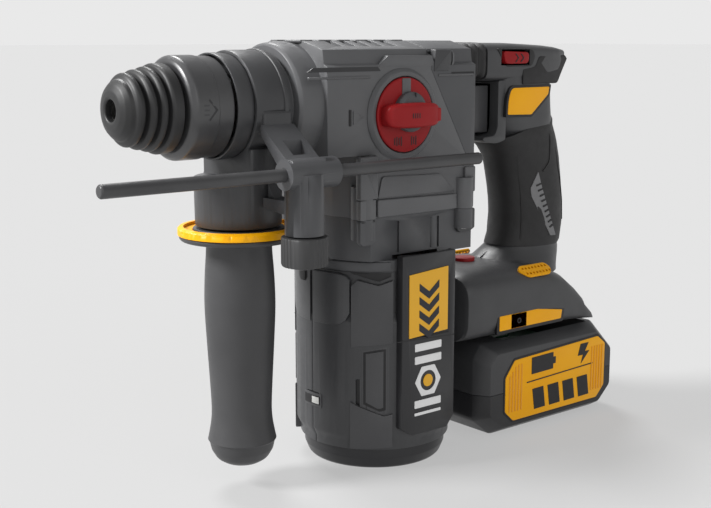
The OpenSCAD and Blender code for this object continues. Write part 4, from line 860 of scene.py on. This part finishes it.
signs = {
    "rule": [(-248, -167.4), (-308, -165.6), (-308, -166.3), (-248, -168.1)],
    "cell": [(-252, -153.2), (-271, -152.8), (-271, -155.8), (-273.2, -155.8), (-273.2, -160.0),
             (-271, -160.0), (-271, -163.0), (-252, -163.4)],
    "bolt": [(-296, -152), (-303.4, -152), (-300.2, -157.2), (-304.4, -157.2), (-296.6, -164.6),
             (-298.4, -159.2), (-293.6, -159.2)],
}
for k in range(4):
    x = -253 - 13.4 * k
    signs["charge_%d" % k] = [(x, -172.6), (x - 9.6, -172.4), (x - 11.6, -185.2), (x - 2.0, -185.4)]
for name, outline in signs.items():
    sign = platePiece("label_" + name, outline, 37.9, 38.42, radius=0.3, edge=0)
    inkOn(sign, "battery_labels")
print("battery made")

# ---- gear case: relief, marks and anti-slip pads
caseY = 34.0
motor = {"x": -162.0, "under": 41.0}


def tubePad(pieceName, spans, low, high, corner=0.45, edge=2.0):
    first, last = spans[0][0], spans[-1][0]
    count = max(3, int((last - first) / edge))
    sections = []
    for k in range(count + 1):
        turn = first + (last - first) * k / count
        top, bottom = reading(spans, turn)
        outline = rounded([(low, bottom), (high, bottom), (high, top), (low, top)], corner, 2)
        a = math.radians(turn)
        sections.append([(motor["x"] + r * math.sin(a), r * math.cos(a), z) for r, z in outline])
    return loftPiece(pieceName, sections)


def sidePlate(name, outline, low, high, node, finish, radius=0.6, edge=0.4, slot=None):
    plate = platePiece(name, outline, low, high, radius=radius, edge=edge)
    return bothSides(plate, node, slot, finish=finish)


sidePlate("case_upper_step", [(-134.6, 18.6), (-141.6, 24.3), (-172.4, 24.1), (-174.8, 18.6)], 29.0, caseY,
          "gear_housing", "housing_grey", 0.5, 0.5)
sidePlate("case_ledge_front", [
    (-90, 13.1), (-90, 14.3), (-129.4, 14.3), (-129.4, 13.1)], 33.2, caseY + 0.55, "gear_housing",
    "housing_grey", 0.3, 0.3)
sidePlate("case_ledge_rear", [(-177, 13.1), (-177, 14.3), (-203, 14.3), (-203, 13.1)], 33.2, caseY + 0.55,
          "rear_cover", "housing_grey", 0.3, 0.3)
sidePlate("case_step_shadow", [
    (-89.4, 16.6), (-93, 18.8), (-134.6, 18.8), (-136.6, 16.6)], 33.4, caseY + 0.12, "gear_housing",
    "panel_black", 0.4, 0, "panel_black")
sidePlate("mode_pointer", [(-118.3, -3.0), (-118.3, -10), (-124.9, -6.5)], 33.4, caseY + 0.5,
          "gear_housing", "housing_grey", 0.4, 0.2)
sidePlate("mode_pointer_bar", [(-115.6, -2.4), (-115.6, -10.6), (-117.0, -10.6), (-117.0, -2.4)], 33.4,
          caseY + 0.4, "gear_housing", "mark_ink", 0.2, 0, "panel_black")
sidePlate("case_plate_low", [
    (-133.8, -58.6), (-133.8, -49.4), (-190.6, -50.6), (-190.8, -58.8)], 33.0, caseY + 1.7, "gear_housing",
    "housing_light", 0.9, 0.6)
sidePlate("case_plate_high", [
    (-134.4, -49.0), (-137.4, -37.4, 2), (-178.8, -38.8, 2), (-190.2, -49.6, 2)], 33.0, caseY + 1.0,
    "gear_housing", "housing_light", 0.9, 0.6)
sidePlate("case_column_high", [(-120.6, -26.6), (-132.6, -26.2), (-132.6, -48.6), (-120.6, -48.6)], 33.0,
          caseY + 3.4, "gear_housing", "housing_grey", 1.0, 0.9)
sidePlate("case_column_low", [
    (-121.2, -48.8), (-131.6, -48.8), (-131.6, -59.2), (-121.2, -59.2)], 33.0, caseY + 2.6, "gear_housing",
    "housing_light", 0.6, 0.8)
sidePlate("case_column_foot", [
    (-121.2, -59.6), (-131.6, -59.6), (-131.6, -71), (-129.6, -72.6), (-123.2, -72.6), (-121.2, -71)], 33.0,
    caseY + 2.5, "mid_housing", "mid_grey", 0.6, 0.8)
sidePlate("case_boss_high", slab(-196.8, -204.8, -36.4, -50.4), 33.0, caseY + 1.6,
          "gear_housing", "housing_light", 0.8, 0.6)
sidePlate("case_boss_low", [
    (-191.4, -59.8), (-204.8, -59.8), (-204.8, -70.6), (-201, -72.4), (-193.4, -72.4), (-191.4, -70.6)],
    33.0, caseY + 1.7, "mid_housing", "dark_plastic", 0.7, 0.6)
sidePlate("case_dark_block", [
    (-173.6, 15.8), (-174.6, 27.2), (-186.2, 27.0), (-186.6, 21.6), (-184.4, 15.8)], 28.6, caseY + 0.5,
    "rear_cover", "dark_plastic", 0.7, 0.6, "dark_plastic")
sidePlate("case_dark_hook", [
    (-186.9, 26.6), (-188.6, 24.6), (-188.6, 20.4), (-187.3, 18.6), (-186.9, 19.2), (-187.5, 21),
    (-187.5, 24.4)], 28.6, caseY + 0.1, "rear_cover", "housing_light", 0.3, 0)
sidePlate("case_step_line", [
    (-186.8, 15.2), (-186.8, 13.9), (-203.6, 13.9), (-203.6, 15.2)], 33.0, caseY + 0.2, "rear_cover",
    "mark_ink", 0.2, 0, "panel_black")
for k in range(6):
    x = -98 - 12.2 * k
    pad = platePiece("case_top_pad_%d" % k, [
        (x, 3.2), (x - 8.2, 3.2), (x - 11.6, 13.2), (x - 3.4, 13.2)], 30.9, 32.3, along="Z", radius=1.0,
        edge=0.45)
    bothSides(pad, "gear_housing", finish="housing_light")
print("gear case detailed")

# ---- motor: cap, scoop, vents, pads and the badge panel
capShape = spunPiece("motor_cap_turned", [
    (-197.8, 0, 0), (-197.8, 36.4), (-196.6, 37.6), (-191.6, 39.7), (-186.3, 39.8), (-186.3, 36.2),
    (-194.6, 36.2), (-194.6, 14), (-188, 14), (-188, 11.05), (-194.8, 11.05), (-194.8, 0, 0)], "Z",
    (motor["x"], 0, 0), radius=0.5, steps=112)
standFor(capShape, "motor_cap")
crescent = tubePad("motor_crescent", [
    (28.6, -88.6, -90.6), (37.6, -88.6, -93.0), (52, -88.6, -90.0), (58, -88.6, -88.9)], 41.4, 42.5, 0.1)
inkOn(crescent, "motor_shell_left")
pads = {                           # spans of turn, top and bottom, then outer radius, corner, finish
    "motor_side_pad": ([(28.0, -92.2, -126.2), (37.6, -94.8, -127.0), (52.6, -92.0, -127.8),
                        (56.6, -95.2, -128.6)], 44.9, 0.6, "motor_pad"),
    "motor_low_pad": ([(28.0, -165.0, -183.6), (34, -166.0, -184.0), (52, -160.6, -184.6),
                       (57.4, -158.6, -184.8)], 45.0, 0.6, "motor_pad"),
    "motor_vent_back": ([(28.4, -127.2, -166.4), (34, -127.6, -167.6), (52.2, -129.8, -161.6),
                         (56.8, -130.6, -161.4)], 43.2, 0.1, "mark_ink"),
    "motor_vent_frame": ([(30.4, -127.9, -164.6), (34.6, -128.2, -165.8), (50.6, -130.2, -161.0)],
                         44.3, 0.3, "motor_pad"),
    "motor_vent_louvre": ([(34.4, -130.2, -161.2), (37.4, -130.4, -162.2), (46.4, -131.6, -158.4)],
                          45.0, 0.4, "motor_pad"),
    "motor_vent_gap": ([(32.6, -129.2, -162.8), (36.4, -129.4, -163.8), (48.2, -131.0, -159.6)],
                       44.42, 0.1, "mark_ink"),
}
for name, (spans, high, corner, finish) in pads.items():
    piece = tubePad(name, spans, motor["under"], high, corner)
    bothSides(piece, "motor_shell_left", finish=finish)
scoopSpans = [(57.8, -92.0, -110.1), (61, -90.0, -114.4), (65.7, -89.2, -116.7), (72, -89.0, -117.4),
              (88.6, -89.0, -117.6)]
scoop = tubePad("motor_scoop", scoopSpans, 40.6, 44.9, 0.9, 1.6)
bothSides(scoop, "motor_shell_left", finish="motor_front")
lightPane = tubePad("motor_light_ring", [(29, -82.9, -87.4), (89.6, -82.9, -87.4)], 41.0, 42.6, 0.4)
bothSides(lightPane, "mid_housing", finish="mid_grey")
clip = tubePad("motor_front_clip", [
    (96.0, -84.8, -94.6), (97.2, -83.6, -96.0), (102.6, -83.6, -96.2), (104, -85, -94.8)], 42.0, 45.8, 0.9,
    1.0)
settle(clip, "motor_shell_right", "dark_plastic", finish="black_rubber")
hatchFrame = tubePad("motor_hatch_frame", [(80.6, -157.4, -165.0), (99.6, -157.4, -165.0)], 41.4, 44.7, 0.3)
settle(hatchFrame, "motor_shell_left", "dark_plastic", finish="motor_pad")
hatch = tubePad("motor_hatch", [(82.2, -158.7, -163.6), (98.4, -158.7, -163.6)], 41.4, 44.95, 0.1)
settle(hatch, "motor_shell_left", "panel_black", finish="mark_ink")
hatchLight = tubePad("motor_hatch_light", [
    (82.8, -159.3, -163.0), (89.8, -159.3, -163.0)], 41.4, 45.05, 0.1)
settle(hatchLight, "motor_shell_left", "light_plastic")
panel = {"x": -161.4, "nutZ": -148.6, "barHalf": 9.6, "low": 44.6, "face": 45.4}
badge = platePiece("panel_badge", [
    (-147.4, -89.4), (-175.4, -87.4), (-175.4, -122.4), (-147.4, -123.6)], 44.6, 45.5, radius=0.3,
    edge=0.15)
bothSides(badge, "side_panel_left", "yellow_plastic", finish="badge_yellow")
for k in range(4):                                                     # plain chevrons in place of lettering
    z = -94.6 - 7.2 * k
    mark = platePiece("badge_chevron_%d" % k, [
        (-154.4, z), (-161.4, z - 5.0), (-168.6, z + 0.6), (-168.6, z - 3.4), (-161.4, z - 9.0),
        (-154.4, z - 4.0)], 45.2, 45.72, radius=0.2, edge=0)
    bothSides(mark, "side_panel_left", "panel_black", finish="badge_ink")
for k, (low, high) in enumerate(((-127.4, -131.6), (-134.4, -138.6), (-158.8, -163.0), (-165.6, -167.2))):
    bar = slab(panel["x"] - panel["barHalf"], panel["x"] + panel["barHalf"], low, high)
    mark = platePiece("panel_bar_%d" % k, bar, panel["low"], panel["face"], radius=0.5, edge=0.1)
    bothSides(mark, "side_panel_left", "light_plastic", finish="label_white")
for name, outer, inner, finish in (("nut", 9.4, 5.6, "label_white"), ("disc", 3.9, 0, "badge_yellow")):
    points = [(panel["x"] + outer * math.cos(math.radians(60 * k)),
               panel["nutZ"] + outer * math.sin(math.radians(60 * k))) for k in range(6)]
    mark = platePiece("panel_" + name, points, panel["low"], panel["face"], radius=0.5 if inner else 1.8,
                      edge=0.1)
    if inner:
        deselectAll()
        bpy.ops.mesh.primitive_cylinder_add(vertices=48, radius=inner * mm, depth=10 * mm,
                                            location=(panel["x"] * mm, 45 * mm, panel["nutZ"] * mm),
                                            rotation=(math.pi / 2, 0, 0))
        hole = bpy.context.object
        bpy.ops.object.transform_apply(location=True, rotation=True, scale=True)
        carve(mark, hole)
    bothSides(mark, "side_panel_left", "light_plastic", finish=finish)
split = platePiece("panel_split_line", [
    (-139.4, -123.9), (-180.6, -125.9), (-180.6, -126.5), (-139.4, -124.5)], 44.7, 45.16, radius=0.1,
    edge=0)
inkOn(split, "side_panel_left")
print("motor detailed")

# ---- floor, light and camera
stageSizes = {"floorHalf": 30.0, "floorShade": 0.19, "floorGlow": 0.43, "horizonShade": 0.815,
              "zenithShade": 0.34}


def studioFloor(opts):
    deselectAll()
    bpy.ops.mesh.primitive_plane_add(size=2 * opts["floorHalf"], location=(0, 0, cadBounds[0][2]))
    floor = bpy.context.object
    floor.name = "studio_floor"
    mat, tree, bsdf, place = newShader("paperSweep")
    mottle = noiseOn(tree, place, 6, 3)
    shade = opts["floorShade"]
    tree.links.new(mixColour(tree, mottle, (shade,) * 3, (shade * 0.99,) * 3), bsdf.inputs["Base Color"])
    bsdf.inputs["Roughness"].default_value = 0.9
    bsdf.inputs["Specular IOR Level"].default_value = 0.0
    bsdf.inputs["Emission Color"].default_value = (1, 1, 1, 1)
    bsdf.inputs["Emission Strength"].default_value = opts["floorGlow"]
    floor.data.materials.append(mat)


def softSun(name, fromWhere, strength, width):
    data = bpy.data.lights.new(name, "SUN")
    data.energy = strength
    data.angle = math.radians(width)
    lamp = bpy.data.objects.new(name, data)
    bpy.context.scene.collection.objects.link(lamp)
    lamp.rotation_euler = (-Vector(fromWhere)).to_track_quat("-Z", "Y").to_euler()


def studioAir(opts):
    world = bpy.data.worlds.new("studioAir")
    world.use_nodes = True
    tree = world.node_tree
    coord = tree.nodes.new("ShaderNodeTexCoord")
    split = tree.nodes.new("ShaderNodeSeparateXYZ")
    tree.links.new(coord.outputs["Generated"], split.inputs[0])
    rise = spread(tree, split.outputs["Z"], 0.03, 0.5, 0, 1)
    low, high = opts["horizonShade"], opts["zenithShade"]
    tree.links.new(mixColour(tree, rise, (low,) * 3, (high,) * 3), tree.nodes["Background"].inputs[0])
    bpy.context.scene.world = world


studioFloor(stageSizes)
studioAir(stageSizes)
softSun("keySun", (0.74, -0.34, 0.62), 4.6, 20)
softSun("fillSun", (0.15, 0.85, 0.45), 0.45, 50)
softSun("rimSun", (-0.2, -0.62, 0.76), 2.2, 22)

cameraSet = {"lens": 61.27, "place": (0.27088, 0.50642, 0.03403), "aim": (-0.62735, -0.75834, -0.17708)}
camData = bpy.data.cameras.new("viewCamera")
camData.lens = cameraSet["lens"]
camData.sensor_width = 36
camera = bpy.data.objects.new("viewCamera", camData)
bpy.context.scene.collection.objects.link(camera)
camera.location = cameraSet["place"]
camera.rotation_euler = Vector(cameraSet["aim"]).to_track_quat("-Z", "Y").to_euler()
bpy.context.scene.camera = camera
bpy.context.scene.view_settings.view_transform = "Standard"
print("stage set")
